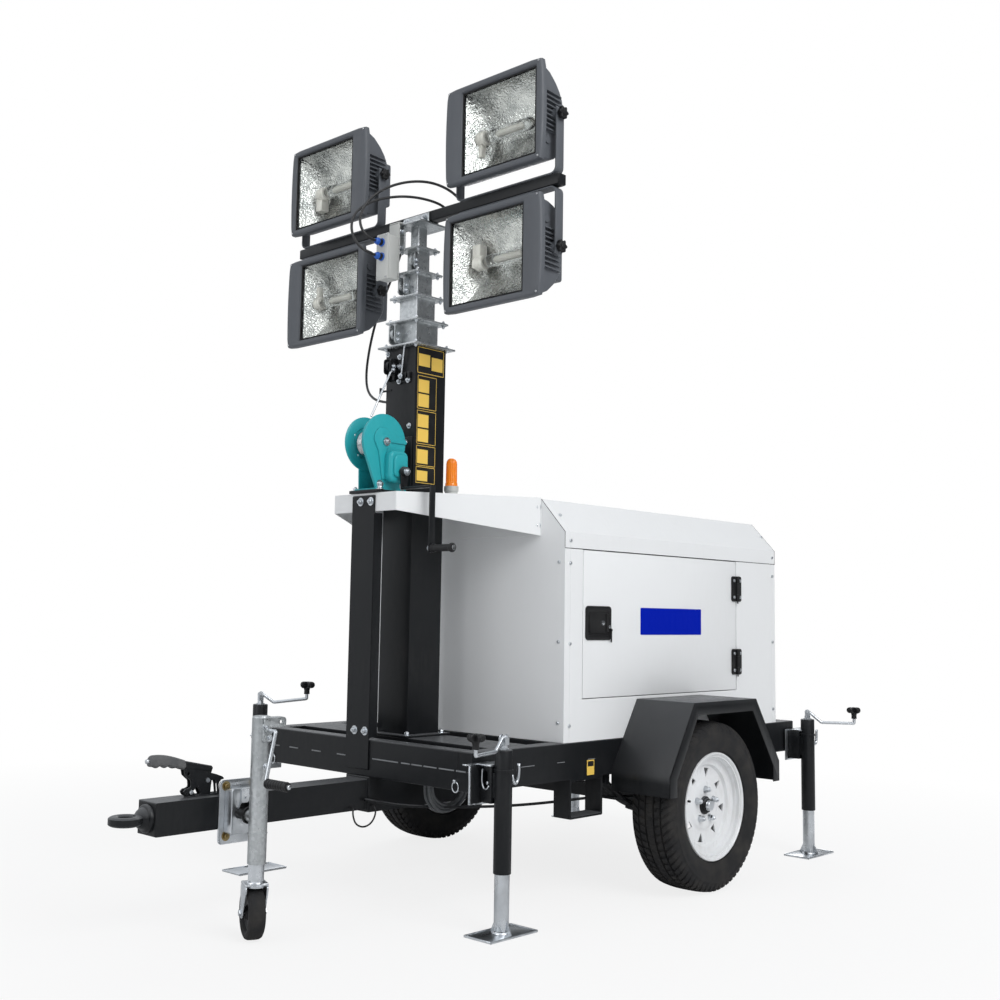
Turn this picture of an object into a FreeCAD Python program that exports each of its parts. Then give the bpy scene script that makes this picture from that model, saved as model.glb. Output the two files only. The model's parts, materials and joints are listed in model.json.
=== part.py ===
"""Mobile light tower on a single-axle trailer, as a parametric document.

Built in axle coordinates: x = 0 at the axle, +X towards the tow eye, +Y left, +Z up, floor at z = 0.
Each finished piece is then moved along x, so that the origin is the middle of the footprint.
"""
import FreeCAD, Part
import math
import os
import re
import Sketcher
from FreeCAD import Placement, Rotation, Vector

doc = FreeCAD.newDocument("light_tower")
sheet = doc.addObject("Spreadsheet::Sheet", "sizes")

# Driving dimensions in millimetres and degrees.
SIZES = {
    # clearances and sheets
    "run_gap": 0.3, "door_gap": 5, "plate": 6, "sheet_metal": 3,
    # wheels
    "tyre_radius": 307, "tyre_width": 185, "rim_radius": 178, "lip_rise": 17, "track_out": 146,
    "tyre_gap": 0.3, "bead_half": 70, "rim_flange": 9, "hub_radius": 34, "hub_reach": 62, "stub_radius": 20,
    "wheel_hole_out": 44, "wheel_hole_in": 77,
    # chassis frame of stacked tubes
    "frame_top": 552, "tube_height": 63, "tube_width": 60, "tube_wall": 4, "frame_half": 546,
    "frame_front": 1068, "frame_rear": 980, "deck_sheet": 4, "mast_beam_half": 95,
    # drawbar
    "drawbar_size": 100, "sleeve_wall": 10, "sleeve_rear": 500, "drawbar_end": 1900,
    "eye_radius": 50, "eye_bore": 25, "eye_height": 30, "eye_centre": 1972, "collar_radius": 42,
    "brake_x": 1696, "brake_half": 12,
    # axle, springs and fenders
    "axle_size": 50, "spring_half": 330, "spring_rise": 130, "spring_wide": 50, "leaf": 9, "spring_in": 46,
    "fender_wide": 254, "fender_top": 690, "fender_top_half": 210,
    "fender_mid_half": 350, "fender_slope": 60, "fender_low": 369, "fender_lip": 45,
    # tie-down loops under the rails
    "loop_x": 475, "loop_half": 92, "loop_low": 290, "loop_deep": 75, "loop_bar": 8,
    # canopy
    "canopy_front": 607, "canopy_rear": 833, "canopy_wall": 30,
    "canopy_knee": 1286, "roof_half": 434, "roof_top": 1407, "roof_hem": 1229,
    "door_front": 500, "door_rear": 514, "door_low": 704, "door_top": 1224,
    "hinge_radius": 8, "hinge_length": 105, "hinge_z1": 815, "hinge_z2": 1114, "hinge_leaf": 4,
    # engine inside
    "engine_front": 360, "engine_rear": 560, "engine_half": 260, "engine_top": 1120,
    # mast
    "mast_x": 830, "mast_width": 132, "mast_wall": 4, "mast_top": 1972, "collar": 8, "collar_lip": 28,
    "clip_z": 1790, "clip_out": 110, "section_step": 94, "section_foot": 40, "section_low": 600,
    # shelf and post
    "shelf_top": 1412, "shelf_sheet": 4, "shelf_front_half": 165, "shelf_front_drop": 66,
    "shelf_rear_drop": 138, "post_half": 59, "post_flange": 36,
    # winch
    "winch_x": 1030, "winch_axis": 1597, "winch_disc": 101, "winch_half": 58, "drum_radius": 34,
    "winch_foot": 22, "crank_x": 985, "crank_axis": 1490, "crank_out": 262, "crank_low": 1215, "grip_length": 95, "grip_radius": 13,
    # beacon
    "beacon_x": 690, "beacon_y": 60, "beacon_radius": 24, "beacon_stand": 34, "beacon_height": 160,
    # lamp bar and lamps
    "bar_size": 40, "bar_half": 700, "lamp_y": 450, "lamp_rise": 235, "arm_clear": 13, "arm_bar": 6,
    "arm_wide": 40, "bezel_half": 225, "bezel_tall": 180, "lamp_front": 90, "bezel_deep": 22,
    "bezel_bulge": 7, "band": 77, "bezel_edge": 26, "housing_in": 17, "housing_tall": 165,
    "housing_wall": 5, "glass_sheet": 5, "housing_back": -50, "box_half": 165, "box_tall": 62, "knob_radius": 22,
    "fin_pitch": 16, "fin_low": 46, "fin_sheet": 5,
    # outrigger jacks
    "jack_reach": 91, "jack_tube": 28.5, "jack_wall": 3.5, "leg_tube": 24, "jack_top": 567, "jack_low": 185,
    "leg_top": 385, "foot_long": 220, "foot_wide": 115, "foot_sheet": 8, "jack_shift": 22,
    "outrigger_inner": 70, "crank_bar": 6,
    # cable coil under the mast beam
    "coil_x": 826, "coil_y": 200, "coil_half": 108, "coil_tall": 194, "coil_thick": 30,
    "lead_radius": 5, "thin_lead": 3,
    # jockey jack and wheel
    "jockey_x": 1632, "jockey_y": 191, "jockey_tube": 28.5, "jockey_top": 670, "jockey_low": 229,
    "swivel_z": 366, "fork_top": 173, "caster_radius": 80, "caster_wide": 54, "caster_trail": 30,
    "caster_turn": 66, "jockey_crank_drop": 42, "jockey_crank_low": 191, "jockey_crank_out": 74, "grip_lean": 34,
}
for row, (name, number) in enumerate(SIZES.items(), 1):
    sheet.set("A%d" % row, name)
    sheet.set("B%d" % row, str(number))
    sheet.setAlias("B%d" % row, name)
doc.recompute()

WORD = re.compile(r"[a-z][a-z0-9_]*")
SHIFT = "(frame_rear - tube_width / 2 - jack_shift / 2 + foot_long / 2 - eye_centre - eye_radius) / 2"
PLANES = {"xy": "XY_Plane", "xz": "XZ_Plane", "yz": "YZ_Plane"}
NODES = []


def formula(text):
    """Turn the names in a text into the sheet's cells."""
    return WORD.sub(lambda m: "sizes." + m.group() if m.group() in SIZES else m.group(), str(text))


def bind(thing, prop, text):
    thing.setExpression(prop, formula(text))


def value(text):
    return float(sheet.evalExpression(formula(text)))


def minus(text):
    return "-(%s)" % text


def mirror(side, low, high):
    """The span low..high on the left side, or its mirror image on the right side."""
    return (low, high) if side > 0 else (minus(high), minus(low))


def put(thing, x, y, z):
    bind(thing, ".Placement.Base.x", x)
    bind(thing, ".Placement.Base.y", y)
    bind(thing, ".Placement.Base.z", z)
    return thing


def box(x, y, z):
    """A block between the low and high text of each axis."""
    block = doc.addObject("Part::Box", "block")
    for prop, span in zip(("Length", "Width", "Height"), (x, y, z)):
        bind(block, prop, "(%s) - (%s)" % (span[1], span[0]))
    return put(block, x[0], y[0], z[0])


TURN = {"x": Rotation(Vector(0, 1, 0), 90), "y": Rotation(Vector(1, 0, 0), -90), "z": Rotation()}


def rod(axis, radius, span, a, b, end_radius=None):
    """A cylinder, or a cone with an end radius, along an axis; a and b are its other two coordinates."""
    kind = "Part::Cylinder" if end_radius is None else "Part::Cone"
    thing = doc.addObject(kind, "rod")
    if end_radius is None:
        bind(thing, "Radius", radius)
    else:
        bind(thing, "Radius1", radius)
        bind(thing, "Radius2", end_radius)
    bind(thing, "Height", "(%s) - (%s)" % (span[1], span[0]))
    thing.Placement = Placement(Vector(), TURN[axis])
    spot = {"x": (span[0], a, b), "y": (a, span[0], b), "z": (a, b, span[0])}[axis]
    return put(thing, *spot)


def tube(axis, radius, wall, span, a, b):
    """A round pipe with open ends."""
    core = rod(axis, "%s - %s" % (radius, wall), ("%s - 1" % span[0], "%s + 1" % span[1]), a, b)
    return cut(rod(axis, radius, span, a, b), core)


def fuse(*things):
    joined = doc.addObject("Part::MultiFuse", "joined")
    joined.Shapes = list(things)
    joined.Refine = True
    return joined


def group(*things):
    """Several solids that don't touch, as one piece."""
    kept = doc.addObject("Part::Compound", "group")
    kept.Links = list(things)
    return kept


def cut(base, *tools):
    result = doc.addObject("Part::Cut", "cut")
    result.Base = base
    result.Tool = tools[0] if len(tools) == 1 else group(*tools)
    result.Refine = True
    return result


def hold(sketch, edge, end, a, b):
    """Fix a point of an edge at two distances from the sketch's origin."""
    for kind, text in (("DistanceX", a), ("DistanceY", b)):
        index = sketch.addConstraint(Sketcher.Constraint(kind, -1, 1, edge, end, value(text)))
        sketch.setExpression("Constraints[%d]" % index, formula(text))


def trace(sketch, points):
    """Draw a closed outline. A point is (a, b), or (a, b, via_a, via_b) after an arc through via."""
    spots = [Vector(value(p[0]), value(p[1]), 0) for p in points]
    edges = []
    for i, point in enumerate(points):
        start = spots[i - 1]
        if len(point) == 2:
            edge = sketch.addGeometry(Part.LineSegment(start, spots[i]), False)
        else:
            via = Vector(value(point[2]), value(point[3]), 0)
            edge = sketch.addGeometry(Part.Arc(start, via, spots[i]), False)
        first = 1 if sketch.getPoint(edge, 1).distanceToPoint(start) < 1e-6 else 2
        edges.append((edge, first, 3 - first))
    for i, point in enumerate(points):
        edge, first, last = edges[i]
        before, unused_first, before_last = edges[i - 1]
        sketch.addConstraint(Sketcher.Constraint("Coincident", before, before_last, edge, first))
        hold(sketch, edge, last, point[0], point[1])
        if len(point) == 4:
            mark = sketch.addGeometry(Part.Point(Vector(value(point[2]), value(point[3]), 0)), True)
            hold(sketch, mark, 1, point[2], point[3])
            sketch.addConstraint(Sketcher.Constraint("PointOnObject", mark, 1, edge))


def outline(body, plane, offset, *loops):
    """A sketch on one of the body's origin planes, with one or more closed outlines."""
    sketch = body.newObject("Sketcher::SketchObject", "outline")
    support = next(f for f in body.Origin.OriginFeatures if f.Role == PLANES[plane])
    sketch.AttachmentSupport = [(support, "")]
    sketch.MapMode = "FlatFace"
    bind(sketch, ".AttachmentOffset.Base.z", offset)
    for points in loops:
        trace(sketch, points)
    return sketch


def prism(plane, span, *loops):
    """A body padded between two places along the plane's normal; inner outlines are holes."""
    body = doc.addObject("PartDesign::Body", "prism")
    start = minus(span[1]) if plane == "xz" else span[0]
    sketch = outline(body, plane, start, *loops)
    pad = body.newObject("PartDesign::Pad", "pad")
    pad.Profile = sketch
    bind(pad, "Length", "(%s) - (%s)" % (span[1], span[0]))
    return body


def turned(plane, axis, *loops):
    """A body revolved about an axis of its sketch: V_Axis is the vertical one, H_Axis the other."""
    body = doc.addObject("PartDesign::Body", "turned")
    sketch = outline(body, plane, "0", *loops)
    spin = body.newObject("PartDesign::Revolution", "spin")
    spin.Profile = sketch
    spin.ReferenceAxis = (sketch, [axis])
    spin.Angle = 360
    return body


def node(name, thing, at=None, rotation=None):
    """Finish a sub-part: label it, turn it, and move it from axle coordinates to the origin."""
    thing.Label = name
    if rotation is not None:
        thing.Placement = Placement(Vector(), rotation)
    if at is not None:
        put(thing, *at)
    place = dict((p.lstrip("."), e) for p, e in thing.ExpressionEngine)
    here = place.get("Placement.Base.x", "0")
    thing.setExpression(".Placement.Base.x", "(%s) + %s" % (here, formula(SHIFT)))
    NODES.append(thing)
    return thing


def hook(radius, *points):
    """A bar of round section bent along a line of points, with sharp mitres."""
    pieces = []
    spots = [Vector(*[value(c) for c in p]) for p in points]
    for a, b in zip(spots, spots[1:]):
        pieces.append(Part.makeCylinder(radius, (b - a).Length, a, b - a))
    for spot in spots[1:-1]:
        pieces.append(Part.makeSphere(radius, spot))
    bar = doc.addObject("Part::Feature", "bar")
    bar.Shape = pieces[0].fuse(pieces[1:])
    return bar


def chassis():
    """Two frames of rectangular tube stacked on each other, with cross beams and a deck sheet."""
    low = "frame_top - 2 * tube_height"
    mid = "frame_top - tube_height"
    inner = "frame_half - tube_width"
    rails = []
    for side in (1, -1):
        across = mirror(side, inner, "frame_half")
        upper = box((minus("frame_rear"), "frame_front"), across, (mid, "frame_top"))
        lower = box(("tube_width - frame_rear", "frame_front - tube_width"), across, (low, mid))
        loop_y = mirror(side, "frame_half - loop_deep", "frame_half")
        ring = cut(box(("loop_x - loop_half", "loop_x + loop_half"), loop_y, ("loop_low", low)),
                   box(("loop_x - loop_half + loop_bar", "loop_x + loop_half - loop_bar"),
                       (loop_y[0] + " - 1", loop_y[1] + " + 1"), ("loop_low + loop_bar", low + " - loop_bar")))
        rails.append(fuse(upper, lower, ring))
    node("frame_rails", group(*rails))

    beams = []
    for end in (1, -1):
        span = ("frame_front - tube_width", "frame_front") if end > 0 else \
            (minus("frame_rear"), "tube_width - frame_rear")
        upper = box(span, (minus(inner), inner), (mid, "frame_top"))
        lower = box(span, ("-frame_half", "frame_half"), (low, mid))
        bore = box((span[0] + " + tube_wall", span[1] + " - tube_wall"), ("-frame_half - 1", "frame_half + 1"),
                   (low + " + tube_wall", mid + " - tube_wall"))
        beams.append(cut(fuse(upper, lower), bore))
    across = (minus(inner), inner)
    beams.append(box(("mast_x - mast_beam_half", "mast_x + mast_beam_half"), across, (mid, "frame_top")))
    deck = [box(("-canopy_rear", "canopy_front"), across, ("frame_top - deck_sheet", "frame_top"))]
    for x in ("canopy_front - tube_width", "engine_front - engine_rear", "tube_width - canopy_rear"):
        deck.append(box((x, x + " + tube_width"), across, (mid, "frame_top")))
    beams.append(fuse(*deck))
    node("frame_beams", group(*beams))


def drawbar():
    """A square tube in a sleeve under the front beam, with a towing eye on its end."""
    half = "drawbar_size / 2"
    middle = "frame_top - 2 * tube_height - drawbar_size / 2 - sleeve_wall"
    sleeve_half = "(drawbar_size / 2 + sleeve_wall)"
    bar = box(("sleeve_rear", "drawbar_end"), (minus(half), half), (middle + " - " + half, middle + " + " + half))
    sleeve = box(("sleeve_rear", "frame_front"), (minus(sleeve_half), sleeve_half),
                 (middle + " - " + sleeve_half, middle + " + " + sleeve_half))
    node("drawbar", fuse(bar, sleeve))

    ring = put(turned("xz", "V_Axis", [
        ("eye_bore", "-eye_height / 2"), ("eye_bore", "eye_height / 2"), ("(eye_bore + eye_radius) / 2", "eye_height / 2"),
        ("(eye_bore + eye_radius) / 2", "-eye_height / 2", "eye_radius", "0")]), "eye_centre", "0", middle)
    stem = put(turned("xz", "H_Axis", [
        ("drawbar_end", "0"), ("drawbar_end", "collar_radius"), ("drawbar_end + 10", "collar_radius"),
        ("drawbar_end + 16", "collar_radius * 0.8"), ("drawbar_end + 28", "collar_radius * 0.64"),
        ("eye_centre - eye_bore - 6", "eye_height / 2 - 1"), ("eye_centre - eye_bore - 6", "0")]), "0", "0", middle)
    bore = rod("z", "eye_bore", (middle + " - eye_height", middle + " + eye_height"), "eye_centre", "0")
    node("tow_eye", cut(fuse(ring, stem), bore))

    top = middle + " + " + half
    quadrant = prism("xz", ("-brake_half", "brake_half"), [
        ("brake_x - 78", top), ("brake_x + 84", top), ("brake_x + 76", top + " + 70"),
        ("brake_x - 62", top + " + 66", "brake_x + 10", top + " + 116")])
    windows = [rod("y", "13", ("-brake_half - 1", "brake_half + 1"), "brake_x + 4", top + " + 80"),
               rod("y", "17", ("-brake_half - 1", "brake_half + 1"), "brake_x + 22", top + " + 36"),
               prism("xz", ("-brake_half - 1", "brake_half + 1"), [
                   ("brake_x - 50", top + " + 14"), ("brake_x - 14", top + " + 14"), ("brake_x - 44", top + " + 56")])]
    lever = prism("xz", ("-9", "9"), [
        ("brake_x - 20", top + " + 74"), ("brake_x - 2", top + " + 66"), ("brake_x + 92", top + " + 88"),
        ("brake_x + 88", top + " + 118"), ("brake_x - 10", top + " + 100")])
    grip = prism("xz", ("-14", "14"), [
        ("brake_x + 82", top + " + 84"), ("brake_x + 198", top + " + 118"),
        ("brake_x + 196", top + " + 140", "brake_x + 206", top + " + 130"),
        ("brake_x + 84", top + " + 124", "brake_x + 140", top + " + 138")])
    pawl = rod("y", "8", ("-brake_half - 8", "brake_half + 8"), "brake_x - 12", top + " + 84")
    node("hand_brake", fuse(cut(quadrant, *windows), lever, grip, pawl))


def running_gear():
    """Axle beam on two leaf springs, two wheels, and bent sheet fenders with an outer lip."""
    z = "tyre_radius"
    half = "axle_size / 2"
    beam = box((minus(half), half), ("-(frame_half - spring_in) - spring_wide", "(frame_half - spring_in) + spring_wide"), (z + " - " + half, z + " + " + half))
    pieces = [beam]
    for side in (1, -1):
        pieces.append(rod("y", "stub_radius", mirror(side, "(frame_half - spring_in) + spring_wide", "(frame_half + track_out) + 10"), "0", z))
        across = mirror(side, "(frame_half - spring_in) - spring_wide / 2", "(frame_half - spring_in) + spring_wide / 2")
        eye_z = "frame_top - 2 * tube_height - 25"
        for end in (1, -1):
            spot = "%d * spring_half" % end
            pieces.append(rod("y", "14", across, spot, eye_z))
            pieces.append(box((spot + " - 14", spot + " + 14"), across, (eye_z, "frame_top - 2 * tube_height")))
        seat = z + " - " + half
        for i, share in enumerate((1, 0.72, 0.46)):
            reach = "spring_half * %g" % share
            drop = "(%s - (%s) + leaf) * %g" % (eye_z, seat, share * share)
            top = "%s - leaf * %d" % (seat, i)
            pieces.append(prism("xz", across, [
                (minus(reach), "%s + %s - leaf" % (top, drop)),
                (reach, "%s + %s - leaf" % (top, drop), "0", top + " - leaf"),
                (reach, "%s + %s" % (top, drop)),
                (minus(reach), "%s + %s" % (top, drop), "0", top)]))
    node("axle_set", fuse(*pieces))

    r = "tyre_radius"
    w = "tyre_width / 2"
    half_tyre = [("rim_radius + tyre_gap", "bead_half"), ("(rim_radius + lip_rise) + 4", "bead_half"),
                 (r + " - 60", w, "(rim_radius + lip_rise) + 22", w + " - 6"),
                 (r + " - 14", w + " - 12", r + " - 32", w + " - 2"), (r, w + " - 30", r + " - 4", w + " - 19")]
    tyre_points = half_tyre + [
        (r, "-(%s - 30)" % w), (r + " - 14", "-(%s - 12)" % w, r + " - 4", "-(%s - 19)" % w),
        (r + " - 60", minus(w), r + " - 32", "-(%s - 2)" % w),
        ("(rim_radius + lip_rise) + 4", "-bead_half", "(rim_radius + lip_rise) + 22", "-(%s - 6)" % w), ("rim_radius + tyre_gap", "-bead_half")]
    seat, flange = "bead_half + tyre_gap", "bead_half + rim_flange"
    rim_points = [
        ("hub_radius", "20"), ("rim_radius - 55", "20"), ("rim_radius - 40", "35"), ("rim_radius - 20", "35"),
        ("rim_radius - 20", "-50"), ("rim_radius - 6", "-60"), ("rim_radius - 6", minus(flange)),
        ("(rim_radius + lip_rise)", minus(flange)), ("(rim_radius + lip_rise)", minus(seat)), ("rim_radius", minus(seat)),
        ("rim_radius", "-54"), ("rim_radius - 14", "-44"), ("rim_radius - 14", "22"), ("rim_radius", "32"),
        ("rim_radius", seat), ("(rim_radius + lip_rise)", seat), ("(rim_radius + lip_rise)", flange), ("rim_radius - 6", flange),
        ("rim_radius - 6", "50"), ("rim_radius - 20", "42"), ("rim_radius - 34", "42"),
        ("rim_radius - 50", "27"), ("hub_radius", "27")]
    for side, tag in ((1, "left"), (-1, "right")):
        turn = Rotation(Vector(0, 0, 1), 0 if side > 0 else 180)
        spot = ("0", "%d * (frame_half + track_out)" % side, z)
        tyre = turned("xy", "V_Axis", tyre_points)
        node("tyre_" + tag, tyre, spot, turn)
        disc = turned("xy", "V_Axis", rim_points)
        hub = cut(rod("y", "hub_radius", ("-30", "hub_reach"), "0", "0"),
                  rod("y", "stub_radius + run_gap", ("-31", "12"), "0", "0"))
        holes = []
        for i in range(8):
            wide, narrow = ("wheel_hole_out", "wheel_hole_in") if i % 2 else ("wheel_hole_in", "wheel_hole_out")
            corners = [(wide, 45 * i - 7), (wide, 45 * i + 7), (narrow, 45 * i)]
            holes.append(prism("xz", ("0", "60"), [
                ("(rim_radius - %s) * cos(%d)" % corner, "(rim_radius - %s) * sin(%d)" % corner) for corner in corners]))
        node("rim_" + tag, cut(fuse(disc, hub), *holes), spot, turn)

    slant = "(fender_mid_half - fender_top_half) * tan(fender_slope)"

    def shell(inset, low):
        top_x = "(fender_top_half - %s * tan(fender_slope / 2))" % inset
        mid_x = "(fender_mid_half - %s)" % inset
        mid_z = "(fender_top - %s - %s * tan(45 - fender_slope / 2))" % (slant, inset)
        top_z = "(fender_top - %s)" % inset
        return [(minus(mid_x), low), (minus(mid_x), mid_z), (minus(top_x), top_z),
                (top_x, top_z), (mid_x, mid_z), (mid_x, low)]

    guards = []
    for side in (1, -1):
        outer = prism("xz", mirror(side, "frame_half", "(frame_half + fender_wide)"), shell("0", "fender_low"))
        inner = prism("xz", mirror(side, "frame_half - 1", "(frame_half + fender_wide) - sheet_metal"),
                      shell("sheet_metal", "fender_low - 1"))
        arch = prism("xz", mirror(side, "frame_half", "(frame_half + fender_wide) + 1"), shell("fender_lip", "fender_low - 1"))
        guards.append(cut(outer, inner, arch))
    node("fenders", group(*guards))


def canopy():
    """Insulated canopy: end walls, side frames round the doors, a roof with chamfers, and two doors."""
    wall = "canopy_wall"

    def section(inset, low):
        half = "(frame_half - %s)" % inset
        return [(minus(half), low), (half, low), (half, "canopy_knee - %s * 0.5" % inset),
                ("roof_half - %s * 0.5" % inset, "roof_top - %s" % inset),
                ("-(roof_half - %s * 0.5)" % inset, "roof_top - %s" % inset),
                (minus(half), "canopy_knee - %s * 0.5" % inset)]

    front = prism("yz", ("canopy_front - canopy_wall", "canopy_front"), section("0", "frame_top"))
    rear = prism("yz", ("-canopy_rear", "canopy_wall - canopy_rear"), section("0", "frame_top"))
    node("canopy_ends", group(front, rear))

    inside = ("canopy_wall - canopy_rear", "canopy_front - canopy_wall")
    frames = []
    for side in (1, -1):
        across = mirror(side, "frame_half - canopy_wall", "frame_half")
        panel = box(inside, across, ("frame_top", "roof_hem"))
        opening = box(("-door_rear - door_gap", "door_front + door_gap"), (across[0] + " - 1", across[1] + " + 1"),
                      ("door_low - door_gap", "roof_hem + 1"))
        frames.append(cut(panel, opening))
    node("canopy_sides", group(*frames))
    roof = cut(prism("yz", inside, section("0", "roof_hem")),
               prism("yz", (inside[0] + " - 1", inside[1] + " + 1"), section(wall, "roof_hem - 1")))
    node("canopy_roof", roof)
    block = box(("-engine_rear", "engine_front"), ("-engine_half", "engine_half"), ("frame_top", "engine_top"))
    node("engine_block", block)

    for side, tag in ((1, "left"), (-1, "right")):
        across = mirror(side, "frame_half - canopy_wall", "frame_half")
        leaf = [box(("-door_rear", "door_front"), across, ("door_low", "door_top"))]
        for z in ("hinge_z1", "hinge_z2"):
            tall = (z + " - hinge_length / 2", z + " + hinge_length / 2")
            out = "frame_half + hinge_radius"
            leaf.append(rod("z", "hinge_radius", tall, "-door_rear - door_gap / 2", "%d * (%s)" % (side, out)))
            leaf.append(box(("-door_rear - door_gap / 2", "-door_rear + 42"),
                            mirror(side, "frame_half", "frame_half + hinge_leaf"), tall))
        node("door_" + tag, fuse(*leaf))


def mast():
    """Square mast tube on a base plate, five telescoping sections, each with a collar and a slide foot."""
    half = "mast_width / 2"
    x = "mast_x"

    def square(width, z, bore=None):
        """A square tube or plate about the mast's axis."""
        hw = "(%s) / 2" % width
        block = box(("%s - %s" % (x, hw), "%s + %s" % (x, hw)), (minus(hw), hw), z)
        if bore is None:
            return block
        hb = "(%s) / 2" % bore
        return cut(block, box(("%s - %s" % (x, hb), "%s + %s" % (x, hb)), (minus(hb), hb),
                              (z[0] + " - 1", z[1] + " + 1")))

    base = square("mast_width + 70", ("frame_top", "frame_top + collar"))
    column = square("mast_width", ("frame_top + collar", "mast_top"), "mast_width - 2 * mast_wall")
    widths = ["mast_width", "112", "94", "76", "60", "44"]
    lip = square("mast_width + 2 * collar_lip", ("mast_top", "mast_top + collar"), widths[1] + " + 2 * run_gap")
    clip = box((x + " - 12", x + " + 12"), ("-clip_out", minus(half)), ("clip_z - 10", "clip_z + 10"))
    node("mast_tube", fuse(base, column, lip, clip))
    for i in range(1, 6):
        width = widths[i]
        outer_bore = "%s - 2 * mast_wall" % widths[i - 1]
        low = "section_low + section_step * %d * 0.4" % (i - 1)
        top = "mast_top + section_step * %d" % i
        pipe = square(width, (low, top), "%s - 2 * mast_wall" % width)
        foot = square("%s - 2 * run_gap" % outer_bore, (low, low + " + section_foot"), "%s - 2 * mast_wall" % width)
        pieces = [pipe, foot]
        if i < 5:
            pieces.append(square("%s + 2 * collar_lip" % width, (top, top + " + collar"),
                                 widths[i + 1] + " + 2 * run_gap"))
        else:
            pieces.append(square("%s + 2 * collar_lip" % width, (top, top + " + collar")))
        node("mast_section_%d" % i, fuse(*pieces))


def shelf():
    """Folded shelf at roof height, bolted to the canopy and to a channel post at the front."""
    x0, x1 = "canopy_front", "frame_front"
    top = "shelf_top"
    inner = "shelf_front_half - shelf_sheet"
    solid = prism("xy", (top + " - shelf_rear_drop", top),
                  [(x0, "-roof_half"), (x1, "-shelf_front_half"), (x1, "shelf_front_half"), (x0, "roof_half")])
    below = prism("xz", ("-roof_half - 1", "roof_half + 1"),
                  [(x0, top + " - shelf_rear_drop"), (x1 + " + 1", top + " - shelf_rear_drop"),
                   (x1 + " + 1", top + " - shelf_front_drop")])
    core = prism("xy", (top + " - shelf_rear_drop - 1", top + " - shelf_sheet"),
                 [(x0 + " + shelf_sheet", "-roof_half + 6"), (x1 + " - shelf_sheet", minus(inner)),
                  (x1 + " - shelf_sheet", inner), (x0 + " + shelf_sheet", "roof_half - 6")])
    hole = box(("mast_x - mast_width / 2 - run_gap", "mast_x + mast_width / 2 + run_gap"),
               ("-mast_width / 2 - run_gap", "mast_width / 2 + run_gap"), (top + " - 20", top + " + 1"))
    node("mast_shelf", cut(solid, below, core, hole))
    low = "frame_top - tube_height - 40"
    high = "shelf_top - 8"
    web = box((x1, x1 + " + plate"), ("-post_half", "post_half"), (low, high))
    flanges = [box((x1 + " - post_flange", x1 + " + plate"), mirror(side, "post_half - plate", "post_half"),
                   ("frame_top + 6", "shelf_top - shelf_front_drop - 6")) for side in (1, -1)]
    node("shelf_post", fuse(web, *flanges))

    # Hand winch: drum between two discs on a foot, gear cover and cranked handle on the left.
    x, z = "winch_x", "winch_axis"
    base = top + " + winch_foot"
    foot = box((x + " - winch_disc * 0.9", x + " + 60"), ("-winch_half", "winch_half"), (top, base))
    cheek = prism("xz", ("winch_half - 8", "winch_half"), [
        (x + " - winch_disc * 0.9", base), (x + " - winch_disc", z),
        (x + " + winch_disc", z, x, z + " + winch_disc"), (x + " + 42", base)])
    stay = prism("xz", ("-winch_half", "-winch_half + 6"), [
        (x + " - winch_disc * 0.9", base), (x + " - winch_disc * 0.8", z), (x + " - 14", z + " + 40"),
        (x + " + 32", z + " + 12", x + " + 20", z + " + 36"), (x + " + 36", base)])
    discs = [rod("y", "winch_disc - 3", ("-winch_half + 6", "-winch_half + 14"), x, z),
             rod("y", "winch_disc - 8", ("winch_half - 20", "winch_half - 14"), x, z)]
    drum = rod("y", "drum_radius", ("-winch_half + 6", "winch_half - 8"), x, z)
    rib = prism("xz", ("winch_half", "winch_half + 6"), [
        (x + " - 36", z + " + 4"), (x + " + 44", z + " + 4", x + " + 6", z + " + 46"), (x + " + 14", z + " - 130"),
        (x + " - 8", z + " - 130"), (x + " + 2", z + " - 10")])
    boss = rod("y", "18", ("winch_half", "winch_half + 10"), x, z)
    gears = prism("xz", ("winch_half", "winch_half + 36"), [
        ("crank_x - 43", base + " + 8"), ("crank_x - 43", "crank_axis + 32"),
        ("crank_x + 45", "crank_axis + 32", "crank_x + 1", "crank_axis + 76"), ("crank_x + 45", base + " + 8")])
    cap = prism("xz", ("winch_half + 36", "winch_half + 46"), [
        ("crank_x - 28", base + " + 22"), ("crank_x - 28", "crank_axis + 30"),
        ("crank_x + 30", "crank_axis + 30", "crank_x + 1", "crank_axis + 60"), ("crank_x + 30", base + " + 22")])
    shaft = rod("y", "14", ("winch_half + 40", "winch_half + 60"), "crank_x", "crank_axis")
    flat = ("crank_x - 14", "crank_x + 14")
    start = "winch_half + 52"
    arm = [box(flat, (start, start + " + 6"), (top + " + 6", "crank_axis + 14")),
           box(flat, (start, "crank_out + 6"), (top + " + 6", top + " + 12")),
           box(flat, ("crank_out", "crank_out + 6"), ("crank_low - 14", top + " + 12")),
           rod("y", "grip_radius", ("crank_out + 6", "crank_out + 6 + grip_length"), "crank_x", "crank_low")]
    node("winch", fuse(foot, cheek, stay, drum, rib, boss, gears, cap, shaft, *discs, *arm))
    stand = top + " + beacon_stand"
    lens = rod("z", "beacon_radius", (stand + " + 20", top + " + beacon_height"), "beacon_x", "beacon_y")
    puck = rod("z", "beacon_radius + 3", (stand, stand + " + 20"), "beacon_x", "beacon_y")
    stem = rod("z", "beacon_radius - 4", (top, stand), "beacon_x", "beacon_y")
    node("beacon", fuse(lens, puck, stem))


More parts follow.
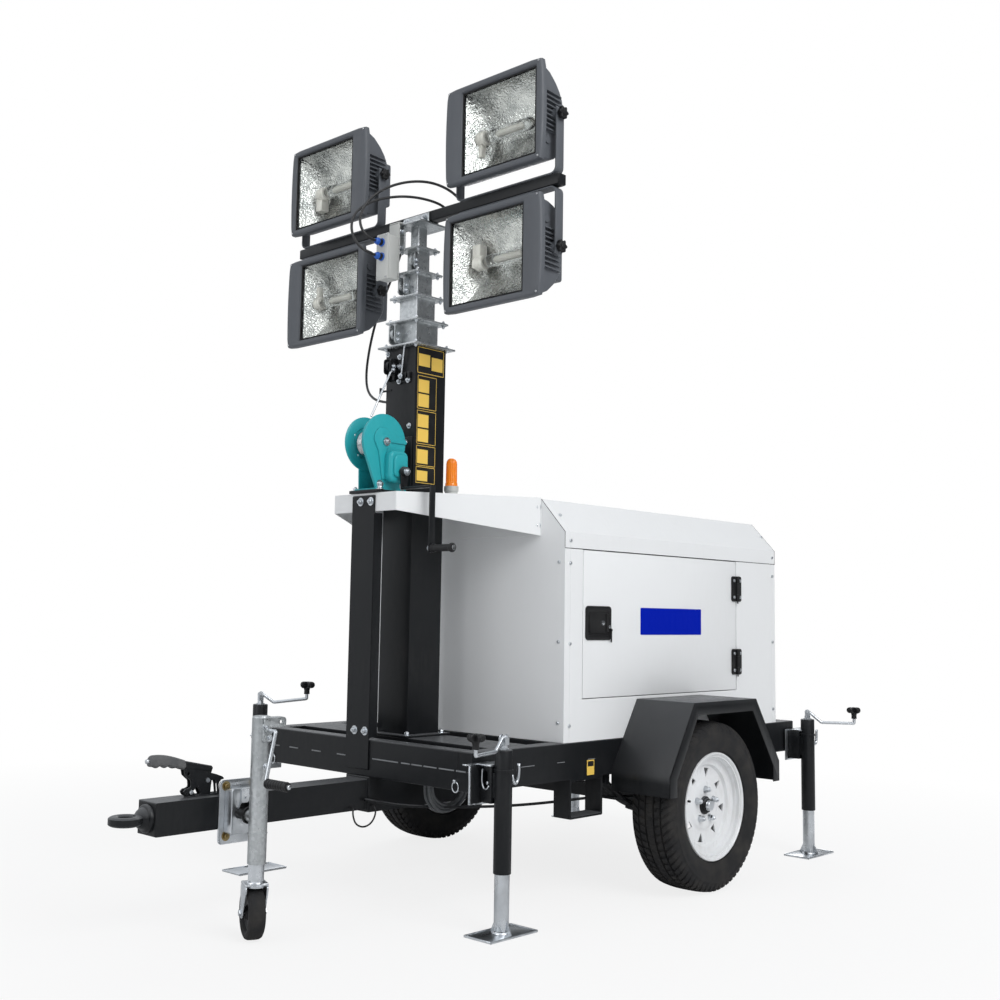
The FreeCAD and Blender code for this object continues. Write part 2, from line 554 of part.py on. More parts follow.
def lamp_head():
    """Lamp bar with four stirrups, a junction box with glands, and four floodlights."""
    z0 = "(mast_top + section_step * 5 + collar)"
    middle = "(%s + bar_size / 2)" % z0
    bar = box(("mast_x - bar_size / 2", "mast_x + bar_size / 2"), ("-bar_half", "bar_half"),
              (z0, z0 + " + bar_size"))
    pieces = [bar]
    for up in (1, -1):
        for side in (1, -1):
            def level(low, high):
                return ("%s + %s" % (middle, low), "%s + %s" % (middle, high)) if up > 0 else \
                    ("%s - (%s)" % (middle, high), "%s - (%s)" % (middle, low))
            x = ("mast_x - arm_wide / 2", "mast_x + arm_wide / 2")
            inner = "lamp_y - (bezel_half + arm_clear)"
            outer = "lamp_y + (bezel_half + arm_clear)"
            pieces.append(box(x, mirror(side, inner, outer), level("bar_size / 2", "bar_size / 2 + arm_bar")))
            for span in ((inner, inner + " + arm_bar"), (outer + " - arm_bar", outer)):
                pieces.append(box(x, mirror(side, *span), level("bar_size / 2", "lamp_rise + 25")))
            for span in ((inner + " - 22", inner), (outer, outer + " + 22")):
                spot = middle + (" + lamp_rise" if up > 0 else " - lamp_rise")
                pieces.append(rod("y", "knob_radius", mirror(side, *span), "mast_x", spot))
    node("lamp_bar", fuse(*pieces))

    case = box(("mast_x + 82", "mast_x + 132"), ("-82", "-20"), (middle + " - 245", middle + " - 74"))
    tab = box(("mast_x + bar_size / 2", "mast_x + 82"), ("-82", "-20"), (z0, z0 + " + 6"))
    drop = box(("mast_x + 76", "mast_x + 82"), ("-82", "-20"), (middle + " - 245", z0 + " + 6"))
    glands = []
    for level in (" - 105", " - 160"):
        for radius, reach in (("14", ("132", "142")), ("11", ("142", "152")), ("13", ("152", "167"))):
            span = tuple("mast_x + " + r for r in reach)
            glands.append(rod("x", radius, span, "-51", middle + level))
    node("junction_box", fuse(case, tab, drop, *glands))

    # Each lamp's number, side of the mast, and whether it stands on the bar or hangs under it.
    for tag, side, up in (("1", 1, 1), ("2", -1, 1), ("3", 1, -1), ("4", -1, -1)):
        spot = ("mast_x", "%d * lamp_y" % side, "%s + %d * lamp_rise" % (middle, up))
        lamp(tag, side, up, spot)


def lamp(tag, side, up, spot):
    """A floodlight about its tilt axis: finned housing with a bezel, a pane, and a reflector with its bulb.

    A hanging lamp is the standing one turned upside down. The bezel's wide band lies next to the mast
    on a standing lamp, and the lamp holder is on the right side of every lamp.
    """
    turn = Rotation(Vector(1, 0, 0), 0 if up > 0 else 180)
    back = "lamp_front - bezel_deep"
    window_y = mirror(side, "-bezel_half + band", "bezel_half - bezel_edge")
    window_z = ("-bezel_tall + bezel_edge", "bezel_tall - bezel_edge")
    ring = prism("yz", (back, "lamp_front"), [
        ("-bezel_half", "-bezel_tall"), ("bezel_half", "-bezel_tall"),
        ("bezel_half", "bezel_tall", "bezel_half + bezel_bulge", "0"), ("-bezel_half", "bezel_tall"),
        ("-bezel_half", "-bezel_tall", "-bezel_half - bezel_bulge", "0")][1:])
    window = box((back + " - 1", "lamp_front + 1"), window_y, window_z)

    def profile(wall, front):
        return [(front, "housing_tall - %s" % wall),
                ("housing_back + %s" % wall, "box_tall - %s / 2" % wall, "32 - %s / 2" % wall, "124 - %s" % wall),
                ("housing_back + %s" % wall, "-box_tall - 40"),
                ("-8 + %s / 2" % wall, "-housing_tall + %s" % wall, "-38 + %s" % wall, "-137 + %s / 2" % wall),
                (front, "-housing_tall + %s" % wall)]

    shell = prism("xz", ("-(bezel_half - housing_in)", "(bezel_half - housing_in)"), profile("0", back))
    hollow = prism("xz", ("-(bezel_half - housing_in) + housing_wall", "(bezel_half - housing_in) - housing_wall"),
                   profile("housing_wall", back + " + 1"))
    tray = box(("housing_back - 60", "housing_back"), ("-box_half", "box_half"), ("-box_tall", "box_tall"))
    fins = []
    for end in (1, -1):
        for i in range(8):
            foot = "(fin_pitch * %d - fin_low)" % i
            fins.append(box(("housing_back + 2", back), mirror(end, "(bezel_half - housing_in)", "bezel_half - 3"),
                            (foot, foot + " + fin_sheet")))
        fins.append(rod("y", "18", mirror(end, "(bezel_half - housing_in)", "(bezel_half + arm_clear) - arm_bar - run_gap"), "0", "0"))
    node("lamp_housing_" + tag, cut(fuse(ring, shell, tray, *fins), window, hollow), spot, turn)

    pane_y = (window_y[0] + " + run_gap", window_y[1] + " - run_gap")
    pane_z = (window_z[0] + " + run_gap", window_z[1] + " - run_gap")
    pane = prism("yz", ("lamp_front - 14", "lamp_front - 14 + glass_sheet"), [
        (pane_y[0], pane_z[0]), (pane_y[1], pane_z[0]), (pane_y[1], pane_z[1]), (pane_y[0], pane_z[1])])
    node("lamp_glass_" + tag, pane, spot, turn)

    inner = "(bezel_half - housing_in) - housing_wall - run_gap"
    dish = prism("xz", (minus(inner), inner), [
        ("64", "134"), ("-32", "-8", "10", "80"), ("64", "-137", "12", "-98"), ("62", "-139"),
        ("-35", "-8", "9", "-100"), ("62", "136", "7", "82")])
    holder_side = -up
    holder = rod("y", "20", mirror(holder_side, "95", "150"), "14", "0")
    bulb = rod("y", "17", mirror(holder_side, "-130", "95"), "14", "0")
    prong = box(("-34", "14"), mirror(holder_side, "138", "150"), ("-12", "10"))
    node("lamp_optic_" + tag, fuse(dish, holder, bulb, prong), spot, turn)


def crank(x, y, top, out):
    """Cranked handle with a knob on top of a jack, turned along y by the sign of out."""
    spots = [(x, y, top), (x, y, top + " + 26"), (x, "%s + %d * 22" % (y, out), top + " + 26"),
             (x, "%s + %d * 34" % (y, out), top + " + 8"), (x, "%s + %d * 120" % (y, out), top + " + 8"),
             (x, "%s + %d * 120" % (y, out), top + " + 34")]
    bar = hook(value("crank_bar"), *spots)
    knob = rod("z", "22", (top + " + 34", top + " + 52"), x, "%s + %d * 120" % (y, out))
    return [bar, knob]


def stands():
    """Four sliding outriggers, each with a tube jack and its leg, and a jockey wheel jack on the drawbar."""
    low = "frame_top - 2 * tube_height"
    mid = "frame_top - tube_height"
    arm_z = (low + " + tube_wall + run_gap", mid + " - tube_wall - run_gap")
    inner = "(tube_wall + run_gap)"
    table = (("1", 1, 1, -1), ("2", 1, -1, -1), ("3", -1, 1, 1), ("4", -1, -1, 1))
    for tag, end, side, out in table:
        if end > 0:
            span = ("frame_front - tube_width + " + inner, "frame_front - " + inner)
            x = "(frame_front - tube_width / 2 - jack_shift)"
        else:
            span = ("-frame_rear + " + inner, "-frame_rear + tube_width - " + inner)
            x = "(tube_width / 2 + jack_shift / 2 - frame_rear)"
        y = "(%d * (frame_half + jack_reach))" % side
        arm = box(span, mirror(side, "outrigger_inner", "frame_half + 8"), arm_z)
        flange = box((x + " - 45", x + " + 45"), mirror(side, "frame_half + 8", "frame_half + 14"),
                     (low + " - 20", mid + " + 12"))
        pad = box((x + " - 24", x + " + 24"), mirror(side, "frame_half + 14", "(frame_half + jack_reach)"), (low + " - 10", mid + " + 4"))
        barrel = rod("z", "jack_tube", ("jack_low", "jack_top"), x, y)
        bore = rod("z", "jack_tube - jack_wall", ("jack_low - 1", "jack_top - 6"), x, y)
        node("outrigger_" + tag, fuse(cut(fuse(arm, flange, pad, barrel), bore), *crank(x, y, "jack_top", out * side)))
        leg = cut(rod("z", "leg_tube", ("foot_sheet", "leg_top"), x, y),
                  rod("z", "leg_tube - 3", ("foot_sheet + 6", "leg_top + 1"), x, y))
        guide = tube("z", "jack_tube - jack_wall - run_gap", "3", ("leg_top - 30", "leg_top"), x, y)
        sole = box((x + " - foot_long / 2", x + " + foot_long / 2"),
                   (y + " - foot_wide / 2", y + " + foot_wide / 2"), ("0", "foot_sheet"))
        node("leg_" + tag, fuse(leg, guide, sole))

    # Jockey jack on a swivel plate.
    x, y, z = "jockey_x", "jockey_y", "swivel_z"
    side = "drawbar_size / 2"
    plate = prism("xz", (side, side + " + 6"), [
        (x + " + 48", z + " - 99"), (x + " + 60", z + " - 87", x + " + 56.5", z + " - 95.5"),
        (x + " + 60", z + " + 87"), (x + " + 48", z + " + 99", x + " + 56.5", z + " + 95.5"), (x + " - 48", z + " + 99"),
        (x + " - 60", z + " + 87", x + " - 56.5", z + " + 95.5"), (x + " - 60", z + " - 87"),
        (x + " - 48", z + " - 99", x + " - 56.5", z + " - 95.5")])
    channel = box((x + " - 36", x + " + 36"), (side + " + 6", side + " + 46"), (z + " - 60", z + " + 60"))
    stub = rod("y", "26", (side + " + 46", "jockey_y - jockey_tube - 14"), x, z)
    node("swivel_plate", fuse(plate, channel, stub))
    barrel = rod("z", "jockey_tube", ("jockey_low", "jockey_top"), x, y)
    clamp = rod("y", "34", ("jockey_y - jockey_tube - 14 + run_gap", "jockey_y"), x, z)
    bore = rod("z", "jockey_tube - jack_wall", ("jockey_low - 1", "jockey_top - 6"), x, y)
    side_z, low_z = "jockey_top - jockey_crank_drop", "jockey_top - jockey_crank_low"
    out = y + " + jockey_crank_out"
    bar = hook(value("crank_bar"), (x, y + " + jockey_tube - 1", side_z), (x, out, side_z), (x + " + grip_lean", out, low_z),
               (x + " + grip_lean", out + " + 12", low_z))
    grip = rod("y", "grip_radius", (out + " + 10", out + " + 10 + grip_length"), x + " + grip_lean", low_z)
    node("jockey_tube", fuse(cut(fuse(barrel, clamp), bore), bar, grip))
    inner_tube = rod("z", "leg_tube", ("fork_top", "leg_top"), x, y)
    inner_bore = rod("z", "leg_tube - 3", ("fork_top + 6", "leg_top + 1"), x, y)
    guide = tube("z", "jockey_tube - jack_wall - run_gap", "3", ("leg_top - 30", "leg_top"), x, y)
    node("jockey_leg", fuse(cut(inner_tube, inner_bore), guide))

    # Caster built along +X about the jack's axis, then turned to where it stands.
    swivel = Rotation(Vector(0, 0, 1), value("caster_turn"))
    wide = "caster_wide / 2"
    axle = "-caster_trail"
    crown = box(("-44", "20"), (minus(wide + " + 9"), wide + " + 9"), ("fork_top - 7", "fork_top - run_gap"))
    plates = []
    for s in (1, -1):
        plates.append(prism("xz", mirror(s, wide + " + 3", wide + " + 9"), [
            (axle + " - 16", "caster_radius - 14"), (axle + " + 16", "caster_radius - 14"),
            ("20", "fork_top - 7"), ("-44", "fork_top - 7")]))
    pin = rod("y", "6", (minus(wide + " + 16"), wide + " + 16"), axle, "caster_radius")
    node("jockey_fork", fuse(crown, pin, *plates), (x, y, "0"), swivel)
    r = "caster_radius"
    wheel = turned("xy", "V_Axis", [
        ("6 + run_gap / 3", minus(wide)), ("30", minus(wide)), ("34", minus(wide + " - 6")), (r + " - 22", minus(wide + " - 6")),
        (r + " - 10", minus(wide)), (r, minus(wide + " - 10"), r + " - 3", minus(wide + " - 3")),
        (r, wide + " - 10"), (r + " - 10", wide, r + " - 3", wide + " - 3"), (r + " - 22", wide + " - 6"),
        ("34", wide + " - 6"), ("30", wide), ("6 + run_gap / 3", wide)])
    node("jockey_wheel", wheel, (x + " - caster_trail * cos(caster_turn)", y + " - caster_trail * sin(caster_turn)", r), swivel)


def cord(name, radius, points):
    """A free cable: a round tube along straight runs joined by tangent arcs."""
    spots = [Vector(*p) for p in points]
    edges = []
    at = spots[0]
    radii = []
    for before, corner, after in zip(spots, spots[1:], spots[2:]):
        one, two = before - corner, after - corner
        turn = math.pi - one.getAngle(two)
        leg = 0.45 * min(one.Length, two.Length)
        first = corner + one.normalize() * leg
        last = corner + two.normalize() * leg
        bend = leg / math.tan(turn / 2)
        middle = (one + two).normalize()
        via = corner + middle * (bend / math.cos(turn / 2) - bend)
        edges += [Part.LineSegment(at, first).toShape(), Part.Arc(first, via, last).toShape()]
        radii.append(round(bend))
        at = last
    edges.append(Part.LineSegment(at, spots[-1]).toShape())
    path = Part.Wire(edges)
    ring = Part.Wire(Part.makeCircle(radius, spots[0], spots[1] - spots[0]))
    thing = doc.addObject("Part::Feature", name)
    thing.Shape = path.makePipeShell([ring], True, False, 2)
    print(name, "length", round(path.Length), "radii", radii,
          "volume share", round(thing.Shape.Volume / (math.pi * radius ** 2 * path.Length), 3))
    node(name, thing)


LEAD_OVER = [(997, -51, 2365), (1040, -51, 2365), (1070, -62, 2400), (1066, -74, 2455), (1030, -66, 2520),
             (975, -36, 2572), (912, 10, 2602), (850, 66, 2606), (800, 118, 2580), (768, 158, 2535),
             (764, 182, 2496), (784, 188, 2470), (810, 188, 2470)]
LEAD_BAR = [(997, -51, 2310), (1044, -51, 2310), (1082, -70, 2340), (1090, -96, 2400), (1066, -104, 2470),
            (1004, -76, 2524), (930, -22, 2548), (868, 30, 2548), (806, 84, 2528), (774, 104, 2498),
            (782, 110, 2470), (810, 110, 2470)]
MAIN_LEAD = [(810, -150, 2470), (775, -150, 2470), (728, -188, 2452), (688, -268, 2392), (672, -350, 2290),
             (670, -412, 2180), (678, -440, 2060), (702, -428, 1952), (742, -372, 1872), (782, -286, 1822),
             (812, -196, 1798), (828, -146, 1790), (828, -110.3, 1790)]
BREAKAWAY = [(1140, 50, 330), (1140, 66, 330), (1152, 78, 308), (1140, 80, 276), (1104, 80, 262),
             (1068, 80, 272), (1048, 80, 302), (1050, 76, 330), (1050, 60, 330)]


def cables():
    """Lamp leads from the glands to the bar, the main lead to the mast, a breakaway cable and a coil."""
    cord("lead_over", value("lead_radius"), LEAD_OVER)
    cord("lead_bar", value("lead_radius"), LEAD_BAR)
    cord("main_lead", value("lead_radius"), MAIN_LEAD)
    cord("breakaway_cable", value("thin_lead"), BREAKAWAY)
    top = "frame_top - tube_height"
    half, middle = "coil_half", "(%s - coil_tall / 2)" % top

    def ring(inset):
        high = "%s + coil_tall / 2 - %s" % (middle, inset)
        low = "%s - coil_tall / 2 + %s" % (middle, inset)
        left, right = "coil_x - coil_half + %s" % inset, "coil_x + coil_half - %s" % inset
        return [(right, middle, "coil_x", low), (left, middle, "coil_x", high)]

    coil = prism("xz", ("coil_y - coil_thick / 2", "coil_y + coil_thick / 2"), ring("0"), ring("coil_thick"))
    node("cable_coil", coil)


def export():
    """Recompute, check every object and sub-part, and write one file for each sub-part."""
    doc.recompute()
    faults = [o.Name + " " + o.Label for o in doc.Objects if {"Invalid", "Error"} & set(o.State)]
    faults += [n.Label for n in NODES if n.Shape.isNull() or not n.Shape.isValid() or not n.Shape.Solids]
    if faults:
        raise RuntimeError("failed objects: " + ", ".join(faults))
    os.makedirs("parts", exist_ok=True)
    for piece in NODES:
        piece.Shape.exportStep("parts/%s.step" % piece.Label)
    whole = FreeCAD.BoundBox()
    for piece in NODES:
        whole.add(piece.Shape.BoundBox)
    print("nodes", len(NODES), "box", whole)


chassis()
drawbar()
running_gear()
canopy()
mast()
shelf()
lamp_head()
stands()
cables()
export()
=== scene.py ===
# %% [markdown]
# # A mobile light tower
# The tower is a single-axle trailer with a canopy, a telescopic mast and four floodlights. Its frame comes
# from CAD and sets every size and joint. This lesson dresses that frame: materials first for what is already
# right, then new pieces for what needs more than a plain solid.

# %% Load the frame
import json
import math
import bpy
from mathutils import Matrix, Vector


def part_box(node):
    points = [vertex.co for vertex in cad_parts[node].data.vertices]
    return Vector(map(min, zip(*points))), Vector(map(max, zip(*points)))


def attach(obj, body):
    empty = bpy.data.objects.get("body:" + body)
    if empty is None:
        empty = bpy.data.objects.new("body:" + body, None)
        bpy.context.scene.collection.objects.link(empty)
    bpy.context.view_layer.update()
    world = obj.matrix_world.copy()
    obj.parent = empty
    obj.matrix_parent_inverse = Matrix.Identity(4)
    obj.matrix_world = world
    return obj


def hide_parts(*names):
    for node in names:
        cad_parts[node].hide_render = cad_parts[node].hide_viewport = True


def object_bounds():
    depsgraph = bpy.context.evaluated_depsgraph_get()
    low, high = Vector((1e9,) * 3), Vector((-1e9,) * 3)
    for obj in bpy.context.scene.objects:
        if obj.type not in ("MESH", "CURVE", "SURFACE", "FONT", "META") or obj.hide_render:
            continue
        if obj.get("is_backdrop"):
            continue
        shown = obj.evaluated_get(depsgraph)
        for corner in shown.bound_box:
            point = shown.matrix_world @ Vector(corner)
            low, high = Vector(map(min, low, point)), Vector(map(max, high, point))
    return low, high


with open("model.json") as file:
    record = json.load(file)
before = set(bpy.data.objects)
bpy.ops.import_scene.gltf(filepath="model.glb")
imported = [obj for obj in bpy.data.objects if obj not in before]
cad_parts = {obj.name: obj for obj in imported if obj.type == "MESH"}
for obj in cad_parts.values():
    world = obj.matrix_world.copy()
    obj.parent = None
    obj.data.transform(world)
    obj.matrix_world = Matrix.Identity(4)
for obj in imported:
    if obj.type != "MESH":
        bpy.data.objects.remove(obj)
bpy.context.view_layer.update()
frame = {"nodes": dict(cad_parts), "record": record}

wheel_low, wheel_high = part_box("tyre_left")
AXLE = (wheel_low.x + wheel_high.x) / 2
TRACK, WHEEL_Z = 692, 307            # millimetres: half the track, and the axle's height
FRAME_HALF, MAST_X = 546, 830        # half the frame's width, and the mast ahead of the axle
CANOPY_FRONT, CANOPY_REAR = 607, -833
SHELF_Z = 1412.2                     # top of the canopy's shelf
WINCH_X, WINCH_Z = 1030, 1597
CRANK_X, CRANK_Z = 985, 1490


# %% [markdown]
# A trailer is measured from its axle, in millimetres. One small function turns such a point into the scene's
# metres, so every number below can be checked with a tape measure.

# %% Points measured from the axle
def at(x, y, z):
    return Vector((AXLE + x / 1000, y / 1000, z / 1000))


# %% [markdown]
# The camera stands low at the left front corner and looks slightly up. Its rotation is built from the
# direction it looks in, plus a small roll, and the shift moves the frame without turning the camera.

# %% Camera
def look(yaw, pitch, roll):
    yaw, pitch, roll = math.radians(yaw), math.radians(pitch), math.radians(roll)
    ahead = Vector((math.cos(yaw) * math.cos(pitch), math.sin(yaw) * math.cos(pitch), math.sin(pitch)))
    right = Vector((math.sin(yaw), -math.cos(yaw), 0))
    up = right.cross(ahead)
    right, up = (right * math.cos(roll) + up * math.sin(roll), up * math.cos(roll) - right * math.sin(roll))
    return Matrix((right, up, -ahead)).transposed().to_4x4()


lens = bpy.data.cameras.new("camera")
lens.sensor_width, lens.lens = 36, 44.006
lens.shift_x, lens.shift_y = 0.0382, -0.0195
lens.clip_end = 200
camera = bpy.data.objects.new("camera", lens)
camera.matrix_world = Matrix.Translation(at(3950.2, 3266.6, 996.1)) @ look(-135.965, 6.158, 1.078)
bpy.context.scene.collection.objects.link(camera)
bpy.context.scene.camera = camera


# %% [markdown]
# Cables come next, because their routes are fixed by the frame. A cable is one smooth NURBS line through listed
# points, with a round bevel. The order is set after the points, or the line would stay a polygon.

# %% Cables
def cable(name, body, node, points, radius):
    curve = bpy.data.curves.new(name, "CURVE")
    curve.dimensions = "3D"
    curve.bevel_depth = radius / 1000
    curve.bevel_resolution = 5
    curve.resolution_u = 12
    line = curve.splines.new("NURBS")
    line.points.add(len(points) - 1)
    for spot, place in zip(line.points, points):
        spot.co = (*at(*place), 1)
    line.order_u = 3
    line.use_endpoint_u = True
    cord = bpy.data.objects.new(name, curve)
    bpy.context.scene.collection.objects.link(cord)
    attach(cord, body)
    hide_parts(node)
    return cord


LEAD_OVER = [(997, -51, 2365), (1040, -51, 2365), (1070, -62, 2400), (1066, -74, 2455), (1030, -66, 2520),
             (975, -36, 2572), (912, 10, 2602), (850, 66, 2606), (800, 118, 2580), (768, 158, 2535),
             (764, 182, 2496), (784, 188, 2470), (810, 188, 2470)]
LEAD_BAR = [(997, -51, 2310), (1044, -51, 2310), (1082, -70, 2340), (1090, -96, 2400), (1066, -104, 2470),
            (1004, -76, 2524), (930, -22, 2548), (868, 30, 2548), (806, 84, 2528), (774, 104, 2498),
            (782, 110, 2470), (810, 110, 2470)]
MAIN_LEAD = [(810, -150, 2470), (775, -150, 2470), (728, -188, 2452), (688, -268, 2392), (672, -350, 2290),
             (670, -412, 2180), (678, -440, 2060), (702, -428, 1952), (742, -372, 1872), (782, -286, 1822),
             (812, -196, 1798), (828, -146, 1790), (828, -110.3, 1790)]
BREAKAWAY = [(1140, 50, 330), (1140, 66, 330), (1152, 78, 308), (1140, 80, 276), (1104, 80, 262),
             (1068, 80, 272), (1048, 80, 302), (1050, 76, 330), (1050, 60, 330)]
cords = [cable("lamp_lead_over", "mast_head", "lead_over", LEAD_OVER, 5),
         cable("lamp_lead_bar", "mast_head", "lead_bar", LEAD_BAR, 5),
         cable("mast_lead", "mast_head", "main_lead", MAIN_LEAD, 5),
         cable("breakaway_loop", "trailer", "breakaway_cable", BREAKAWAY, 3)]


# %% [markdown]
# Every finish is built from the same few parts. Noise on object coordinates breaks up the colour and the
# gloss, and a fine bump gives the skin of the coating. Object coordinates are metres here, so a noise scale of
# 500 has features about two millimetres wide.

# %% Parts of a finish
def fresh(kind, **options):
    """Add a primitive with nothing else selected, and hand it back."""
    bpy.ops.object.select_all(action="DESELECT")
    getattr(bpy.ops.mesh, "primitive_%s_add" % kind)(**options)
    return bpy.context.object


def new_material(name):
    material = bpy.data.materials.new(name)
    material.use_nodes = True
    return material, material.node_tree, material.node_tree.nodes["Principled BSDF"]


def surface(name, colour, roughness=0.5, metallic=0.0, **sockets):
    """A Principled material with fixed sockets, and one set of object coordinates."""
    material, tree, body = new_material(name)
    body.inputs["Base Color"].default_value = (*colour, 1)
    body.inputs["Roughness"].default_value = roughness
    body.inputs["Metallic"].default_value = metallic
    for key, number in sockets.items():
        body.inputs[key.replace("_", " ").title()].default_value = number
    tree.nodes.new("ShaderNodeTexCoord").name = "place"
    return material, tree, body


def coordinates(tree, stretch=(1, 1, 1)):
    mapping = tree.nodes.new("ShaderNodeMapping")
    mapping.inputs["Scale"].default_value = stretch
    tree.links.new(tree.nodes["place"].outputs["Object"], mapping.inputs["Vector"])
    return mapping.outputs[0]


def noise(tree, scale, detail=4, stretch=(1, 1, 1)):
    pattern = tree.nodes.new("ShaderNodeTexNoise")
    pattern.inputs["Scale"].default_value = scale
    pattern.inputs["Detail"].default_value = detail
    pattern.inputs["Roughness"].default_value = 0.55
    tree.links.new(coordinates(tree, stretch), pattern.inputs["Vector"])
    return pattern.outputs["Fac"]


def cells(tree, scale, output="Color", feature="F1"):
    pattern = tree.nodes.new("ShaderNodeTexVoronoi")
    pattern.feature = feature
    pattern.inputs["Scale"].default_value = scale
    tree.links.new(coordinates(tree), pattern.inputs["Vector"])
    return pattern.outputs[output]


def spread(tree, value, low, high, to_low, to_high):
    """Map a value's range low..high onto to_low..to_high."""
    change = tree.nodes.new("ShaderNodeMapRange")
    for socket, number in zip(("From Min", "From Max", "To Min", "To Max"), (low, high, to_low, to_high)):
        change.inputs[socket].default_value = number
    tree.links.new(value, change.inputs["Value"])
    return change.outputs["Result"]


def tint(tree, factor, first, second):
    """Mix two colours, or outputs that carry colours."""
    mixer = tree.nodes.new("ShaderNodeMix")
    mixer.data_type = "RGBA"
    tree.links.new(factor, mixer.inputs[0])
    for socket, colour in ((mixer.inputs[6], first), (mixer.inputs[7], second)):
        if isinstance(colour, tuple):
            socket.default_value = (*colour, 1)
        else:
            tree.links.new(colour, socket)
    return mixer.outputs[2]


def math_node(tree, operation, first, second):
    step = tree.nodes.new("ShaderNodeMath")
    step.operation = operation
    for socket, item in zip(step.inputs, (first, second)):
        if isinstance(item, (int, float)):
            socket.default_value = item
        else:
            tree.links.new(item, socket)
    return step.outputs[0]


def bumped(tree, body, height, distance, strength=1.0):
    bump = tree.nodes.new("ShaderNodeBump")
    bump.inputs["Distance"].default_value = distance
    bump.inputs["Strength"].default_value = strength
    tree.links.new(height, bump.inputs["Height"])
    tree.links.new(bump.outputs[0], body.inputs["Normal"])


FINISH = {}


# %% [markdown]
# The floor and the world are one plain pale tone. The floor takes a soft shadow, and is a little brighter to
# the camera than to the lamps, so that the picture stays light without more light on the tower.

# %% Floor and light
floor = fresh("plane", size=60, location=(0, 0, -0.0005))
floor.name = "floor"
floor_paint, tree, body = new_material("floor_paint")
body.inputs["Base Color"].default_value = (0.80, 0.80, 0.80, 1)
body.inputs["Roughness"].default_value = 0.9


def seen_directly(tree):
    """A value that is 1 for what the camera sees, also through glass, and 0 for plain light."""
    ray = tree.nodes.new("ShaderNodeLightPath")
    return math_node(tree, "MAXIMUM", ray.outputs["Is Camera Ray"], ray.outputs["Is Transmission Ray"])


def blended(tree, factor, first, second):
    """Mix two shaders, and hand back the mix."""
    blend = tree.nodes.new("ShaderNodeMixShader")
    for socket, output in zip(blend.inputs, (factor, first.outputs[0], second.outputs[0])):
        tree.links.new(output, socket)
    return blend


glow = tree.nodes.new("ShaderNodeEmission")
away = tree.nodes.new("ShaderNodeVectorMath")
away.operation = "LENGTH"
tree.links.new(tree.nodes.new("ShaderNodeTexCoord").outputs["Object"], away.inputs[0])
fade = spread(tree, away.outputs["Value"], 1.6, 4.2, 0.82, 1.0)
shown = blended(tree, math_node(tree, "MULTIPLY", seen_directly(tree), fade), body, glow)
tree.links.new(shown.outputs[0], tree.nodes["Material Output"].inputs["Surface"])
floor.data.materials.append(floor_paint)
floor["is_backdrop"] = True

world = bpy.data.worlds.new("studio")
bpy.context.scene.world = world
world.use_nodes = True
tree = world.node_tree
toward = tree.nodes.new("ShaderNodeTexCoord")


def backdrop(tree, colour, strength):
    """A background of one colour. Its strength is a number or an output."""
    ground = tree.nodes.new("ShaderNodeBackground")
    ground.inputs["Color"].default_value = (*colour, 1)
    if isinstance(strength, float):
        ground.inputs["Strength"].default_value = strength
    else:
        tree.links.new(strength, ground.inputs["Strength"])
    return ground


def leaning(tree, direction):
    """How far the ray's direction goes along a direction."""
    dot = tree.nodes.new("ShaderNodeVectorMath")
    dot.operation = "DOT_PRODUCT"
    tree.links.new(toward.outputs["Generated"], dot.inputs[0])
    dot.inputs[1].default_value = direction
    return dot.outputs["Value"]


height = math_node(tree, "MAXIMUM", leaning(tree, (0.0, 0.0, 0.55)), -0.1)
level = math_node(tree, "ADD", math_node(tree, "ADD", leaning(tree, (0.30, -0.29, 0.0)), height), 0.42)
mirror_ray = tree.nodes.new("ShaderNodeLightPath")
studio = blended(tree, mirror_ray.outputs["Is Glossy Ray"], backdrop(tree, (0.93, 0.96, 1.0), 0.5),
                 backdrop(tree, (0.93, 0.96, 1.0), level))
seen = blended(tree, seen_directly(tree), studio, backdrop(tree, (1, 1, 1), 1.0))
tree.links.new(seen.outputs[0], tree.nodes["World Output"].inputs["Surface"])


def softbox(name, place, aim, size, power):
    lamp = bpy.data.lights.new(name, "AREA")
    lamp.shape, lamp.size, lamp.size_y, lamp.energy = "RECTANGLE", size[0], size[1], power
    holder = bpy.data.objects.new(name, lamp)
    holder.location = place
    holder.rotation_euler = (Vector(aim) - Vector(place)).to_track_quat("-Z", "Y").to_euler()
    bpy.context.scene.collection.objects.link(holder)


softbox("key", (1.0, 6.5, 5.6), (0, 0, 1.2), (4.5, 4.5), 330)
softbox("front", (7.0, -1.0, 3.2), (0.3, 0, 1.3), (3.5, 3.5), 72)
softbox("rear", (-5.5, -3.5, 4.5), (0, 0, 1.2), (4, 4), 120)
bpy.context.scene.view_settings.view_transform = "Standard"


# %% [markdown]
# Powder coat is the finish of most of this machine. It has a fine orange peel, an even gloss that a little dust
# breaks, and faint scuffs. One function makes it in each colour.

